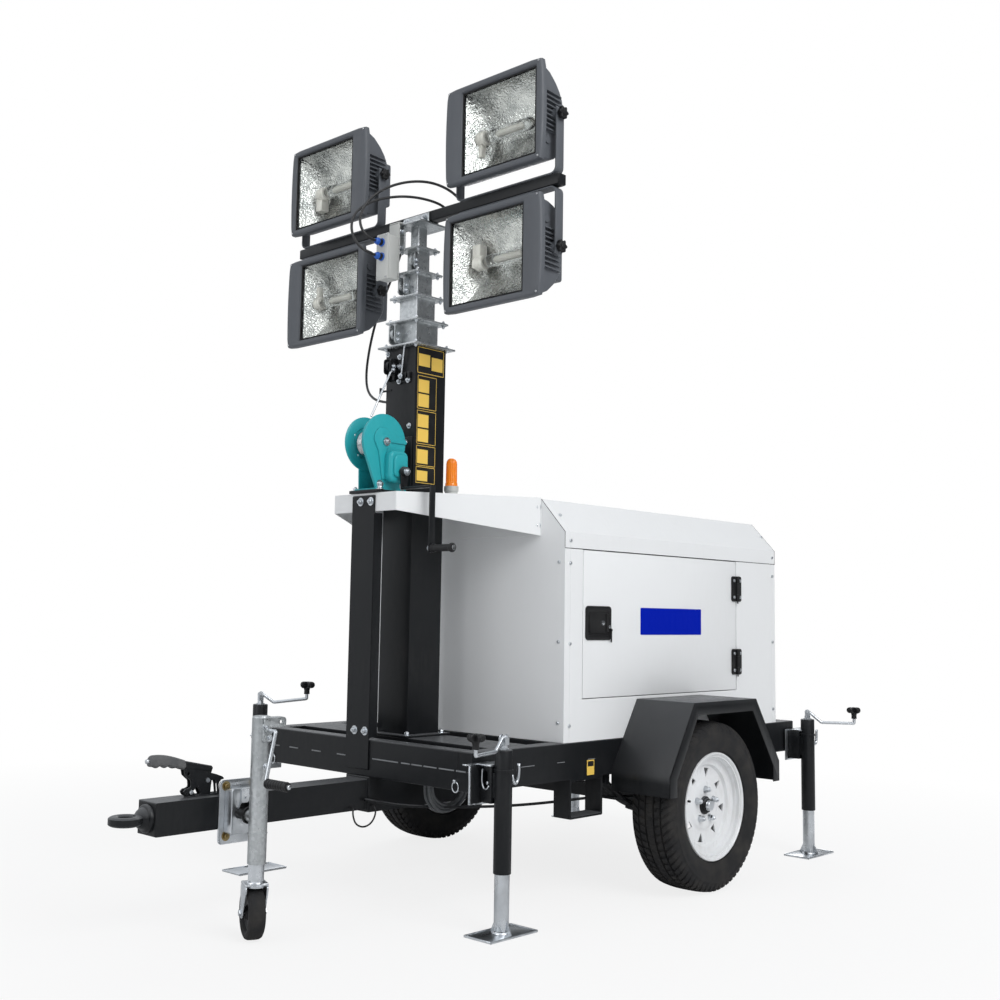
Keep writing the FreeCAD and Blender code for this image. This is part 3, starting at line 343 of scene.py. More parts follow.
# %% Powder coats
def powder_coat(name, colour, roughness, dust, peel=420, coat=0.0, scuff=0.5, gloss=0.5, dust_and_top_light=None):
    material, tree, body = surface(name, colour, roughness, coat_weight=coat, coat_roughness=0.25)
    body.inputs["Specular IOR Level"].default_value = gloss
    cloud = noise(tree, 3.2, 5)
    fine = noise(tree, 60, 6, (1, 1, 0.25))
    dusty = math_node(tree, "MULTIPLY", spread(tree, cloud, 0.42, 0.72, 0, 1),
                      spread(tree, fine, 0.4, 0.65, 0.1, 1))
    shade = tint(tree, math_node(tree, "MULTIPLY", dusty, scuff), colour, dust)
    # Faces that point up are mixed towards a lighter colour. This is partly dust on the tops and partly painted
    # light, where light from above brightens the tops and the eased edges.
    if dust_and_top_light:
        facing = tree.nodes.new("ShaderNodeSeparateXYZ")
        tree.links.new(tree.nodes.new("ShaderNodeNewGeometry").outputs["Normal"], facing.inputs[0])
        shade = tint(tree, spread(tree, facing.outputs["Z"], 0.1, 1.0, 0, 1), shade, dust_and_top_light)
    tree.links.new(shade, body.inputs["Base Color"])
    tree.links.new(spread(tree, fine, 0.3, 0.7, roughness - 0.06, roughness + 0.12), body.inputs["Roughness"])
    bumped(tree, body, noise(tree, peel, 2), 0.00035, 0.35)
    FINISH[name] = material


powder_coat("canopy_white", (0.84, 0.85, 0.855), 0.36, (0.77, 0.77, 0.76), coat=0.15, scuff=0.14)
# The black frame's upward faces get a lighter grey: painted light on the tops, with some dust.
powder_coat("frame_black", (0.0085, 0.0095, 0.011), 0.36, (0.024, 0.024, 0.024), peel=650, coat=0.12, scuff=0.5,
            gloss=0.2, dust_and_top_light=(0.10, 0.103, 0.108))
powder_coat("lamp_grey", (0.100, 0.108, 0.121), 0.42, (0.13, 0.135, 0.145), peel=800, scuff=0.5, gloss=0.35)
powder_coat("winch_teal", (0.022, 0.385, 0.425), 0.36, (0.04, 0.41, 0.44), peel=260, coat=0.15, scuff=0.4,
            gloss=0.3)
powder_coat("box_grey", (0.56, 0.57, 0.55), 0.45, (0.46, 0.46, 0.44), peel=900, scuff=0.4)
powder_coat("rim_white", (0.80, 0.81, 0.82), 0.30, (0.55, 0.53, 0.50), coat=0.3, scuff=0.45)
powder_coat("engine_grey", (0.20, 0.21, 0.22), 0.5, (0.10, 0.09, 0.08), scuff=0.7)
powder_coat("plate_blue", (0.0, 0.012, 0.40), 0.5, (0.0, 0.014, 0.38), peel=900, scuff=0.2, gloss=0.03)
powder_coat("plate_yellow", (0.90, 0.60, 0.115), 0.45, (0.76, 0.50, 0.09), peel=900, scuff=0.3, gloss=0.3)


# %% [markdown]
# Hot dip galvanised steel freezes in flat crystals, each with its own brightness, and gets dull clouds and
# runs. Bright zinc plate is smoother, finely brushed and a little blue.

# %% Zinc coats
def galvanised(name, dark, light, crystal, gloss):
    material, tree, body = surface(name, light, 0.4, 0.9)
    flake = tree.nodes.new("ShaderNodeSeparateColor")
    tree.links.new(cells(tree, crystal), flake.inputs[0])
    cloud = noise(tree, 7, 6, (1, 1, 0.35))
    runs = spread(tree, noise(tree, 22, 5, (1, 1, 0.12)), 0.42, 0.66, 0, 1)
    factor = math_node(tree, "MULTIPLY", spread(tree, flake.outputs[0], 0, 1, 0.55, 1),
                       spread(tree, cloud, 0.3, 0.65, 0.2, 1))
    shade = tint(tree, factor, dark, light)
    shade = tint(tree, math_node(tree, "MULTIPLY", runs, 0.35), shade, (0.30, 0.33, 0.33))
    tree.links.new(shade, body.inputs["Base Color"])
    tree.links.new(spread(tree, flake.outputs[1], 0, 1, gloss, gloss + 0.25), body.inputs["Roughness"])
    bumped(tree, body, noise(tree, 55, 6), 0.0008, 0.3)
    FINISH[name] = material


def plated(name, colour, roughness, grain_stretch=(1, 1, 0.05)):
    material, tree, body = surface(name, colour, roughness, 1.0)
    brush = noise(tree, 420, 3, grain_stretch)
    cloud = noise(tree, 14, 4)
    dull = tuple(c * 0.72 for c in colour)
    tree.links.new(tint(tree, spread(tree, cloud, 0.35, 0.7, 0, 1), colour, dull), body.inputs["Base Color"])
    tree.links.new(spread(tree, cloud, 0.3, 0.7, roughness - 0.05, roughness + 0.14), body.inputs["Roughness"])
    bumped(tree, body, brush, 0.0002, 0.25)
    FINISH[name] = material


galvanised("galvanised", (0.33, 0.35, 0.36), (0.70, 0.72, 0.73), 110, 0.26)
plated("zinc", (0.72, 0.75, 0.78), 0.26)
plated("steel", (0.62, 0.63, 0.64), 0.22)
plated("brass", (0.40, 0.31, 0.15), 0.30, (1, 1, 1))


# %% [markdown]
# Rubber and black plastic reflect little and show dust first. The tyre is greyer and rougher than the knobs.

# %% Rubber and plastics
def moulded(name, colour, dusty, roughness, size=300, depth=0.0002, gloss=0.5):
    material, tree, body = surface(name, colour, roughness)
    body.inputs["Specular IOR Level"].default_value = gloss
    cloud = noise(tree, 18, 6)
    tree.links.new(tint(tree, spread(tree, cloud, 0.4, 0.72, 0, 0.8), colour, dusty), body.inputs["Base Color"])
    tree.links.new(spread(tree, cloud, 0.3, 0.7, roughness - 0.08, roughness + 0.1), body.inputs["Roughness"])
    bumped(tree, body, noise(tree, size, 3), depth, 0.5)
    FINISH[name] = material
    return material, tree, body


moulded("tyre", (0.014, 0.014, 0.015), (0.040, 0.037, 0.034), 0.75, gloss=0.3)
moulded("black_plastic", (0.009, 0.009, 0.010), (0.022, 0.022, 0.022), 0.42, 500, gloss=0.3)
moulded("cable_black", (0.012, 0.012, 0.013), (0.03, 0.03, 0.03), 0.45, 700, 0.0001)
moulded("cable_grey", (0.055, 0.060, 0.064), (0.10, 0.105, 0.11), 0.42, 700, 0.0001)
moulded("gasket", (0.010, 0.010, 0.010), (0.02, 0.02, 0.02), 0.6, gloss=0.3)
moulded("grip_grey", (0.085, 0.088, 0.092), (0.14, 0.14, 0.14), 0.6, 400)
moulded("gland_blue", (0.012, 0.10, 0.50), (0.03, 0.13, 0.48), 0.35, 400, 0.0001)
moulded("ceramic", (0.72, 0.70, 0.66), (0.60, 0.58, 0.54), 0.35, 200, 0.0001)
material, tree, body = moulded("beacon_amber", (0.90, 0.28, 0.01), (0.85, 0.24, 0.01), 0.16, 200, 0.0001)
body.inputs["Transmission Weight"].default_value = 0.35
body.inputs["Emission Color"].default_value = (0.9, 0.25, 0.0, 1)
body.inputs["Emission Strength"].default_value = 0.12


# %% [markdown]
# A floodlight's reflector is thin aluminium with a hammered skin. Small dents break the reflection into sparks,
# and wider ones make patches. The pane and the bulb inside are clear glass.

# %% Reflector and glass
material, tree, body = surface("reflector", (0.62, 0.63, 0.62), 0.22, 1.0)
dents = tree.nodes.new("ShaderNodeSeparateColor")
tree.links.new(cells(tree, 130), dents.inputs[0])
patches = noise(tree, 16, 5)
tree.links.new(tint(tree, spread(tree, patches, 0.35, 0.68, 0, 1), (0.64, 0.64, 0.63), (0.34, 0.35, 0.35)),
               body.inputs["Base Color"])
tree.links.new(spread(tree, dents.outputs[0], 0, 1, 0.10, 0.34), body.inputs["Roughness"])
hammer = math_node(tree, "ADD", cells(tree, 150, "Distance", "SMOOTH_F1"),
                   math_node(tree, "MULTIPLY", patches, 1.2))
bumped(tree, body, hammer, 0.004, 0.50)
FINISH["reflector"] = material

material, tree, body = surface("lamp_glass", (0.98, 1.0, 0.99), 0.0, transmission_weight=1.0)
body.inputs["IOR"].default_value = 1.12
grime = spread(tree, noise(tree, 30, 6), 0.45, 0.75, 0.0, 0.10)
tree.links.new(grime, body.inputs["Roughness"])
FINISH["lamp_glass"] = material
material, tree, body = surface("quartz", (0.97, 0.98, 0.98), 0.03, transmission_weight=1.0)
body.inputs["IOR"].default_value = 1.3
tree.links.new(spread(tree, noise(tree, 90, 4), 0.4, 0.7, 0.0, 0.08), body.inputs["Roughness"])
FINISH["quartz"] = material

for material in frame["record"]["materials"]:
    for node_object in frame["nodes"].values():
        for holder in node_object.material_slots:
            if holder.material and holder.material.name.split(".")[0] == material["slot"]:
                holder.material = FINISH[material["slot"]]
for cord in cords:
    cord.data.materials.append(FINISH["cable_black"])
print("finishes", len(FINISH))


# %% [markdown]
# A few moves come back for every piece. A block is a cube put in its place, a plate is a circle whose corners
# are moved onto an outline and extruded, and a skin is a grid rolled over a row of outlines. Edges get a small
# bevel at the end, because no real edge is perfectly sharp and the bevel is what catches the light.

# %% Modelling moves
def only(piece):
    bpy.ops.object.select_all(action="DESELECT")
    piece.select_set(True)
    bpy.context.view_layer.objects.active = piece


def settle(piece):
    """Put the object's place, turn and size into its mesh."""
    only(piece)
    bpy.ops.object.transform_apply(location=True, rotation=True, scale=True)
    return piece


def outward(piece):
    """Merge doubles, then turn all faces outwards."""
    only(piece)
    bpy.ops.object.mode_set(mode="EDIT")
    bpy.ops.mesh.select_all(action="SELECT")
    bpy.ops.mesh.remove_doubles(threshold=0.00002)
    bpy.ops.mesh.normals_make_consistent(inside=False)
    bpy.ops.object.mode_set(mode="OBJECT")
    return piece


def applied(piece, kind, **settings):
    """Add a modifier, set it and apply it."""
    only(piece)
    modifier = piece.modifiers.new(kind.lower(), kind)
    for key, setting in settings.items():
        setattr(modifier, key, setting)
    bpy.ops.object.modifier_apply(modifier=modifier.name)
    return piece


def smoothed(piece, angle):
    """Shade the piece smooth, apart from edges sharper than an angle in degrees."""
    only(piece)
    bpy.ops.object.shade_smooth_by_angle(angle=math.radians(angle))
    return piece


def eased(piece, width=1.5, segments=2, angle=35):
    """Bevel the edges sharper than an angle, width in millimetres, and shade the rest smooth."""
    applied(piece, "BEVEL", width=width / 1000, segments=segments, limit_method="ANGLE",
            angle_limit=math.radians(angle), use_clamp_overlap=True, harden_normals=False)
    return smoothed(piece, 40)


def block(low, high):
    """A cube between two corners."""
    low, high = Vector(low), Vector(high)
    piece = fresh("cube", size=1, location=(low + high) / 2)
    piece.scale = [abs(c) for c in high - low]
    return settle(piece)


def rod(start, end, radius, end_radius=None, sides=28):
    """A cylinder or cone between two points, radii in millimetres."""
    start, end = Vector(start), Vector(end)
    along = end - start
    last = radius if end_radius is None else end_radius
    piece = fresh("cone", vertices=sides, radius1=radius / 1000, radius2=last / 1000, depth=along.length,
                  location=(start + end) / 2)
    piece.rotation_euler = along.to_track_quat("Z", "Y").to_euler()
    return settle(piece)


AXES = {"x": lambda a, b, c: (c, a, b), "y": lambda a, b, c: (a, c, b), "z": lambda a, b, c: (a, b, c)}


def plate(outline, axis, low, high):
    """An outline in the plane across an axis, extruded from low to high along it."""
    piece = fresh("circle", vertices=len(outline), radius=1, fill_type="NGON")
    for vertex, spot in zip(piece.data.vertices, outline):
        vertex.co = AXES[axis](*spot, low)
    along = Vector(AXES[axis](0, 0, high - low))
    bpy.ops.object.mode_set(mode="EDIT")
    bpy.ops.mesh.select_all(action="SELECT")
    bpy.ops.mesh.extrude_region_move(TRANSFORM_OT_translate={"value": along})
    bpy.ops.object.mode_set(mode="OBJECT")
    return outward(piece)


def side_plate(outline, low, high):
    """A plate from points ahead of the axle and above the floor, in millimetres, between two y in metres."""
    return plate([(AXLE + a / 1000, b / 1000) for a, b in outline], "y", low, high)


def skin(rings, closed=False):
    """A grid rolled up: each ring is a closed row of points, and the rows follow each other."""
    rows, columns = len(rings), len(rings[0])
    piece = fresh("grid", x_subdivisions=columns, y_subdivisions=rows - 1 + int(closed), size=1)
    wide = columns + 1
    for j in range(rows + int(closed)):
        ring = rings[j % rows]
        for i in range(wide):
            piece.data.vertices[j * wide + i].co = ring[i % columns]
    bpy.ops.object.mode_set(mode="EDIT")
    bpy.ops.mesh.select_all(action="SELECT")
    bpy.ops.mesh.remove_doubles(threshold=0.00001)
    if not closed:
        bpy.ops.mesh.select_all(action="DESELECT")
        bpy.ops.mesh.select_non_manifold()
        bpy.ops.mesh.edge_face_add()
    bpy.ops.object.mode_set(mode="OBJECT")
    return outward(piece)


def turned(profile, centre, axis="y", steps=48, closed=True):
    """Spin a profile of (radius, along) points, in millimetres, about an axis through a centre in metres."""
    rings = []
    for radius, along in profile:
        ring = []
        for i in range(steps):
            a = 2 * math.pi * i / steps
            ring.append(Vector(centre)
                        + Vector(AXES[axis](radius * math.cos(a), radius * math.sin(a), along)) / 1000)
        rings.append(ring)
    return skin(rings, closed=closed)


def bow(centre, radius, start, end, count=6):
    """Points of an arc in a plane, angles in degrees."""
    return [(centre[0] + radius * math.cos(math.radians(start + (end - start) * i / (count - 1))),
             centre[1] + radius * math.sin(math.radians(start + (end - start) * i / (count - 1))))
            for i in range(count)]


def rounded_box(a0, b0, a1, b1, radius, count=5):
    """The outline of a rectangle with round corners."""
    return (bow((a1 - radius, b0 + radius), radius, -90, 0, count)
            + bow((a1 - radius, b1 - radius), radius, 0, 90, count)
            + bow((a0 + radius, b1 - radius), radius, 90, 180, count)
            + bow((a0 + radius, b0 + radius), radius, 180, 270, count))


def rounded_plate(x0, z0, x1, z1, radius, count, low, high):
    """A plate along the tower with round corners, in metres, x ahead of the axle."""
    return plate([(AXLE + a, b) for a, b in rounded_box(x0, z0, x1, z1, radius, count)], "y", low, high)


def bent(points, radius, sides=3):
    """A bent round bar as a NURBS path made into a mesh, radius in millimetres."""
    bpy.ops.object.select_all(action="DESELECT")
    bpy.ops.curve.primitive_nurbs_path_add()
    piece = bpy.context.object
    piece.data.bevel_depth = radius / 1000
    piece.data.bevel_resolution = sides
    piece.data.resolution_u = 6
    piece.data.use_fill_caps = True
    line = piece.data.splines[0]
    line.points.add(len(points) - len(line.points))
    for spot, place in zip(line.points, points):
        spot.co = (*place, 1)
    line.order_u = 3
    line.use_endpoint_u = True
    piece.location = (0, 0, 0)
    only(piece)
    bpy.ops.object.convert(target="MESH")
    piece = bpy.context.object
    bpy.ops.object.shade_smooth()
    return outward(piece)


def rounded_path(points, reach):
    """Each corner of a path gives two points a little before and after it, so that a bar bends there."""
    spots = [Vector(p) for p in points]
    path = [spots[0]]
    for before, corner, after in zip(spots, spots[1:], spots[2:]):
        path += [corner + (before - corner).normalized() * reach, corner,
                 corner + (after - corner).normalized() * reach]
    return path + [spots[-1]]


def carved(piece, *tools):
    """Cut tools out of a piece, and throw the tools away."""
    for tool in tools:
        applied(piece, "BOOLEAN", operation="DIFFERENCE", object=tool, solver="EXACT")
        bpy.data.objects.remove(tool)
    return piece


def joined(*pieces):
    """Several meshes as one piece."""
    bpy.ops.object.select_all(action="DESELECT")
    for piece in pieces:
        piece.select_set(True)
    bpy.context.view_layer.objects.active = pieces[0]
    bpy.ops.object.join()
    return bpy.context.object


def coated(piece, finish):
    piece.data.materials.clear()
    piece.data.materials.append(FINISH[finish])
    return piece


def twin(piece):
    """A copy with its own mesh."""
    again = piece.copy()
    again.data = piece.data.copy()
    bpy.context.scene.collection.objects.link(again)
    again.location = (0, 0, 0)
    settle(again)
    return again


def finished(piece, name, body, stands_for=()):
    """Name a piece, put it on its body, and say which CAD nodes it stands for."""
    piece.name = piece.data.name = name
    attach(piece, body)
    if stands_for:
        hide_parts(*stands_for)
    return piece


# %% [markdown]
# Screws and bolts are the scale that the eye reads a machine by. One hexagon bolt with a washer and one round
# screw with a socket are modelled, and copies of them are joined into one piece for each body.

# %% Bolts and screws
def hexagon_bolt(size=10):
    """Bolt head on +z at the origin, size across the flats in millimetres."""
    washer = rod((0, 0, 0), (0, 0, 0.0012), size * 0.95, sides=18)
    head = rod((0, 0, 0.0012), (0, 0, 0.0012 + size * 0.0006), size * 0.577, sides=6)
    stud = rod((0, 0, 0.0012), (0, 0, 0.0018 + size * 0.0008), size * 0.30, sides=10)
    eased(head, size * 0.05, 1)
    return joined(washer, head, stud)


def pan_screw(size=8):
    """Round head with a socket, on +z at the origin."""
    head = turned([(0.01, size * 0.42), (size * 0.16, size * 0.42), (size * 0.18, size * 0.15),
                   (size * 0.24, size * 0.15), (size * 0.27, size * 0.42), (size * 0.42, size * 0.34),
                   (size * 0.5, size * 0.16), (size * 0.5, 0), (0.01, 0)], (0, 0, 0), "z", 14, closed=False)
    return head


PATTERN = {"bolt": hexagon_bolt(16), "small_bolt": hexagon_bolt(11), "screw": pan_screw(13),
           "small_screw": pan_screw(8)}
PATTERN["large_bolt"] = hexagon_bolt(24)
for pattern in PATTERN.values():
    pattern.hide_render = True


def fasteners(name, body, finish, kind, spots):
    """Copies of one fastener at (place, direction) pairs, joined into one piece."""
    copies = []
    for place, direction in spots:
        again = twin(PATTERN[kind])
        again.hide_render = False
        again.rotation_euler = Vector(direction).to_track_quat("Z", "Y").to_euler()
        again.location = place
        copies.append(settle(again))
    piece = coated(joined(*copies), finish)
    smoothed(piece, 35)
    return finished(piece, name, body)


# %% [markdown]
# Each floodlight is built about its own tilt axis, facing +x, and then set in its place. A hanging lamp is a
# standing one turned over. First comes the bezel: a die-cast frame whose sides bulge a little, with a wide
# band on one side of the window. It is a skin over closed rings that run round from the back edge, over the
# rounded front, and down into the window.

# %% Lamp bezel
def mm(*numbers):
    return Vector([n / 1000 for n in numbers])


RING_POINTS = 44


def frame_ring(x, inset, corner, bulge):
    """One closed row of points of the bezel's outline, spaced alike on every ring."""
    half, tall = 225 - inset, 180 - inset
    points = []
    for i in range(RING_POINTS):
        u = i / RING_POINTS * 4
        side, t = int(u), u - int(u)
        s = (t - 0.5) * 2
        swell = bulge * (1 - s * s)
        y, z = ((half + swell, s * tall), (-s * half, tall), (-half - swell, -s * tall), (s * half, -tall))[side]
        cut = max(0.0, abs(y) - (half - corner)) * max(0.0, abs(z) - (tall - corner)) / max(corner, 1e-6)
        y -= math.copysign(cut * 0.29, y)
        z -= math.copysign(cut * 0.29, z)
        points.append((x, y, z))
    return points


def window_ring(x, y0, y1, z0, z1):
    points = []
    for i in range(RING_POINTS):
        u = i / RING_POINTS * 4
        side, t = int(u), u - int(u)
        y, z = ((y1, z0 + t * (z1 - z0)), (y1 + t * (y0 - y1), z1), (y0, z1 + t * (z0 - z1)),
                (y0 + t * (y1 - y0), z0))[side]
        points.append((x, y, z))
    return points


def window_of(band_side):
    """The window's y limits: the wide band is on the given side."""
    narrow, wide = 225 - 26, 225 - 77
    return (-wide, narrow) if band_side < 0 else (-narrow, wide)


def bezel(band_side):
    y0, y1 = window_of(band_side)
    z0, z1 = -154, 154
    rings = [frame_ring(66, 3, 10, 7), frame_ring(66, 0, 12, 7), frame_ring(80, 0, 12, 7),
             frame_ring(86, 1.5, 12, 6.5), frame_ring(89, 4, 12, 6), frame_ring(90, 8, 12, 5),
             window_ring(90, y0 - 7, y1 + 7, z0 - 7, z1 + 7), window_ring(88.6, y0 - 5, y1 + 5, z0 - 5, z1 + 5),
             window_ring(84, y0 - 1.5, y1 + 1.5, z0 - 1.5, z1 + 1.5), window_ring(74, y0, y1, z0, z1),
             window_ring(70, y0, y1, z0, z1), window_ring(66, y0, y1, z0, z1)]
    piece = skin([[mm(*p) for p in ring] for ring in rings], closed=True)
    return smoothed(piece, 50)


def gasket(band_side):
    y0, y1 = window_of(band_side)
    z0, z1 = -154, 154
    rings = [window_ring(x, y0 + d, y1 - d, z0 + d, z1 - d)
             for x, d in ((75, 0.3), (84, 0.3), (84.5, 1.2), (84, 4.2), (75, 5))]
    return coated(skin([[mm(*p) for p in ring] for ring in rings], closed=True), "gasket")


# %% [markdown]
# Behind the bezel the housing narrows in a curve to a flat back, where the box of the connections sits. Its
# side walls carry flat cooling fins. The shell is an outline extruded across the lamp, with its edges eased,
# and one fin is modelled and copied.

# %% Lamp housing
HOUSING = [(68, 165), (46, 164), (20, 152), (-12, 124), (-34, 96), (-47, 70), (-50, 58), (-50, -98), (-45, -112),
           (-32, -133), (-8, -152), (20, -162), (46, -165), (68, -165)]


def housing():
    shell = plate([(x / 1000, z / 1000) for x, z in HOUSING], "y", -0.208, 0.208)
    eased(shell, 7, 3, 50)
    hollow = plate([(x / 1000, z / 1000) for x, z in
                    [(69, 158), (44, 157), (18, 145), (-10, 118), (-30, 92), (-42, 66), (-44, 56), (-44, -96),
                     (-39, -108), (-27, -128), (-4, -146), (20, -155), (46, -158), (69, -158)]], "y", -0.202, 0.202)
    carved(shell, hollow)
    tray = block(mm(-110, -165, -88), mm(-41, 165, 88))
    eased(tray, 9, 3)
    lid = block(mm(-113, -150, -76), mm(-109, 150, 76))
    eased(lid, 1.2, 1)
    pieces = [shell, tray, lid]
    for side in (1, -1):
        for i in range(9):
            z = -62 + 17 * i
            back = -36 if z < 90 else -8
            outline = [(back, 207), (64, 207), (64, 224), (30, 222), (back + 14, 217), (back, 212)]
            fin = plate([(x / 1000, side * y / 1000) for x, y in outline], "z", (z - 2.2) / 1000, (z + 2.2) / 1000)
            pieces.append(fin)
        boss = rod(mm(0, side * 205, 0), mm(0, side * 231.6, 0), 24, 19)
        pieces.append(eased(boss, 2, 2))
        pad = rod(mm(34, side * 205, -96), mm(34, side * 213, -96), 14)
        pieces.append(eased(pad, 1.5, 1))
    shell = joined(*pieces)
    return smoothed(shell, 38)


# %% [markdown]
# The reflector is folded from hammered sheet. A curved trough runs across the lamp, and a slanted cheek closes
# each end, so the bulb is seen several times in it. It is one skin from the window's edge to the back.

# %% Reflector
def reflector(band_side):
    y0, y1 = window_of(band_side)
    y0, y1 = y0 - 2, y1 + 2
    trough = [(66, 156), (50, 150), (30, 137), (8, 112), (-12, 80), (-26, 44), (-32, 10), (-32, -14), (-27, -46),
              (-14, -82), (6, -114), (30, -139), (50, -151), (66, -156)]
    rings = []
    for x, z in trough:
        deep = (66 - x) / 98
        left, right = y0 + 62 * deep ** 0.8, y1 - 62 * deep ** 0.8
        rings.append([(x, left + (right - left) * s, z) for s in [k / 8 for k in range(9)]])
    piece = fresh("grid", x_subdivisions=8, y_subdivisions=len(rings) - 1, size=1)
    for j, ring in enumerate(rings):
        for i, spot in enumerate(ring):
            piece.data.vertices[j * 9 + i].co = mm(*spot)
    cheeks = []
    for end, column in ((-1, 0), (1, 8)):
        edge = [ring[column] for ring in rings]
        fan = fresh("grid", x_subdivisions=len(edge) - 1, y_subdivisions=3, size=1)
        for j in range(4):
            t = j / 3
            for i, spot in enumerate(edge):
                lip = (66, y0 if end < 0 else y1, spot[2])
                fan.data.vertices[j * len(edge) + i].co = mm(*[a + (b - a) * t for a, b in zip(spot, lip)])
        cheeks.append(fan)
    piece = joined(piece, *cheeks)
    outward(piece)
    applied(piece, "SOLIDIFY", thickness=0.0012, offset=0)
    smoothed(piece, 30)
    return coated(piece, "reflector")


# %% [markdown]
# The bulb lies across the lamp. Its clear outer tube has a round end and holds a smaller arc tube between two
# wires, and it screws into a pale ceramic holder on a foot.

# %% Bulb
def bulb(holder_side):
    s = holder_side
    envelope = turned([(0.5, -132), (9, -131), (16, -127), (21, -119), (23, -108), (23, 60), (21, 76), (17, 88),
                       (16, 96), (0.5, 96)],
                      (0, 0, 0), "y", 32, closed=False)
    arc = turned([(0.5, -92), (5, -90), (9, -82), (9, 30), (5, 40), (0.5, 42)], (0, 0, 0), "y", 24, closed=False)
    wires = [rod(mm(0, -120, dz), mm(0, 90, dz), 1.1, sides=8) for dz in (15, -15)]
    wires += [rod(mm(0, -96, -15), mm(0, -96, 15), 1.0, sides=8), rod(mm(0, 46, -15), mm(0, 46, 15), 1.0, sides=8)]
    collar = turned([(12, 88), (24, 90), (27, 96), (27, 104), (24, 108), (27, 112), (27, 124), (22, 130),
                     (12, 130)],
                    (0, 0, 0), "y", 32)
    foot = block(mm(-34, 128, -16), mm(16, 142, 16))
    leg = block(mm(-30, 108, -70), mm(10, 146, -14))
    pieces = {"quartz": [envelope], "ceramic": [arc, collar, eased(foot, 3), eased(leg, 4)], "steel": wires}
    made = []
    for finish, shapes in pieces.items():
        piece = coated(joined(*shapes), finish)
        smoothed(piece, 40)
        if s < 0:
            piece.scale[1] = -1
            settle(piece)
            outward(piece)
        piece.location = mm(14, 0, -4)
        made.append(settle(piece))
    return joined(*made[1:]), made[0]


# %% [markdown]
# The four lamps are set in their places. Only the side of the band and of the bulb holder differ, so each lamp
# is built from the same functions and then turned over if it hangs.

# %% Four floodlights
def placed(piece, tilt_axis, hanging):
    piece.rotation_euler = (math.pi if hanging else 0, 0, 0)
    piece.location = tilt_axis
    return settle(piece)


for tag, side, hanging in (("1", 1, False), ("2", -1, False), ("3", 1, True), ("4", -1, True)):
    tilt_axis = at(MAST_X, 450 * side, 2235 if hanging else 2705)
    rider = "lamp_" + tag
    y0, y1 = window_of(-side)
    case = joined(bezel(-side), housing())
    piece = placed(coated(case, "lamp_grey"), tilt_axis, hanging)
    finished(piece, "floodlight_case_" + tag, rider, ["lamp_housing_" + tag])
    piece = placed(gasket(-side), tilt_axis, hanging)
    finished(piece, "floodlight_gasket_" + tag, rider)
    pane = block(mm(76, y0 + 0.3, -153.7), mm(81, y1 - 0.3, 153.7))
    piece = placed(coated(eased(pane, 0.6, 1), "lamp_glass"), tilt_axis, hanging)
    finished(piece, "floodlight_pane_" + tag, rider, ["lamp_glass_" + tag])
    piece = placed(reflector(-side), tilt_axis, hanging)
    finished(piece, "floodlight_reflector_" + tag, rider, ["lamp_optic_" + tag])
    holder, envelope = bulb(1 if hanging else -1)
    finished(placed(holder, tilt_axis, hanging), "floodlight_holder_" + tag, rider)
    finished(placed(envelope, tilt_axis, hanging), "floodlight_bulb_" + tag, rider)
    corners = [(tilt_axis + mm(89.4, sy * 213, sz * 168), (1, 0, 0)) for sy in (1, -1) for sz in (1, -1)]
    fasteners("floodlight_screws_" + tag, rider, "steel", "small_screw", corners)


# %% [markdown]
# Many CAD nodes have the right shape already, such as the frame's tubes and the canopy's walls. Their meshes
# stay untouched. A live Weld joins their loose triangles, and a live Bevel eases the edges that remain sharp.

# %% Eased edges on the frame
def softened(names, width):
    for name in names:
        piece = frame["nodes"][name]
        weld = piece.modifiers.new("weld", "WELD")
        weld.merge_threshold = 0.00005
        bevel = piece.modifiers.new("bevel", "BEVEL")
        bevel.width, bevel.segments = width / 1000, 2
        bevel.limit_method, bevel.angle_limit = "ANGLE", math.radians(50)
        bevel.use_clamp_overlap = True
        bevel.harden_normals = False


softened(["frame_rails", "frame_beams", "drawbar", "shelf_post", "axle_set"], 3.5)
softened(["canopy_ends", "canopy_sides", "canopy_roof", "mast_shelf", "door_left", "door_right"], 2.5)
softened(["outrigger_%d" % i for i in range(1, 5)], 2)
softened(["mast_section_%d" % i for i in range(1, 6)], 2.2)
softened(["engine_block"], 8)


# %% [markdown]
# The mast stands on a base plate as one black square column. Its top collar is bare galvanised steel, so the
# column and the collar are separate pieces here, and together they stand for the CAD tube.

# %% Mast column and collars
column = carved(block(at(738, -91, 560), at(896, 66, 1972)), block(at(769, -61, 1500), at(891, 61, 1990)))
base = block(at(712, -117, 552), at(931, 101, 560))
guide = eased(block(at(862, -108, 1500), at(880, -90, 1912)), 2)
ledge = eased(block(at(896, -75, SHELF_Z), at(1078, 75, 1424)), 2)
bracket = block(at(896, 18, 1426), at(903, 60, 1632))
eased(bracket, 1.5)
mast_column = joined(eased(column, 5, 3), eased(base, 2), guide, ledge, bracket)
finished(coated(mast_column, "frame_black"), "mast_column", "trailer", ["mast_tube"])
collar = carved(block(at(716, -112, 1972.2), at(926, 94, 1980)),
                block(at(773.7, -56.3, 1960), at(886.3, 56.3, 1990)))
finished(coated(eased(collar, 2.5), "galvanised"), "mast_collar", "trailer")


# %% [markdown]
# Each section carries small plates and bolts that guide the next one and hold the rope's pulleys. The pulley
# cheeks are outlines with round corners, extruded to plate thickness.

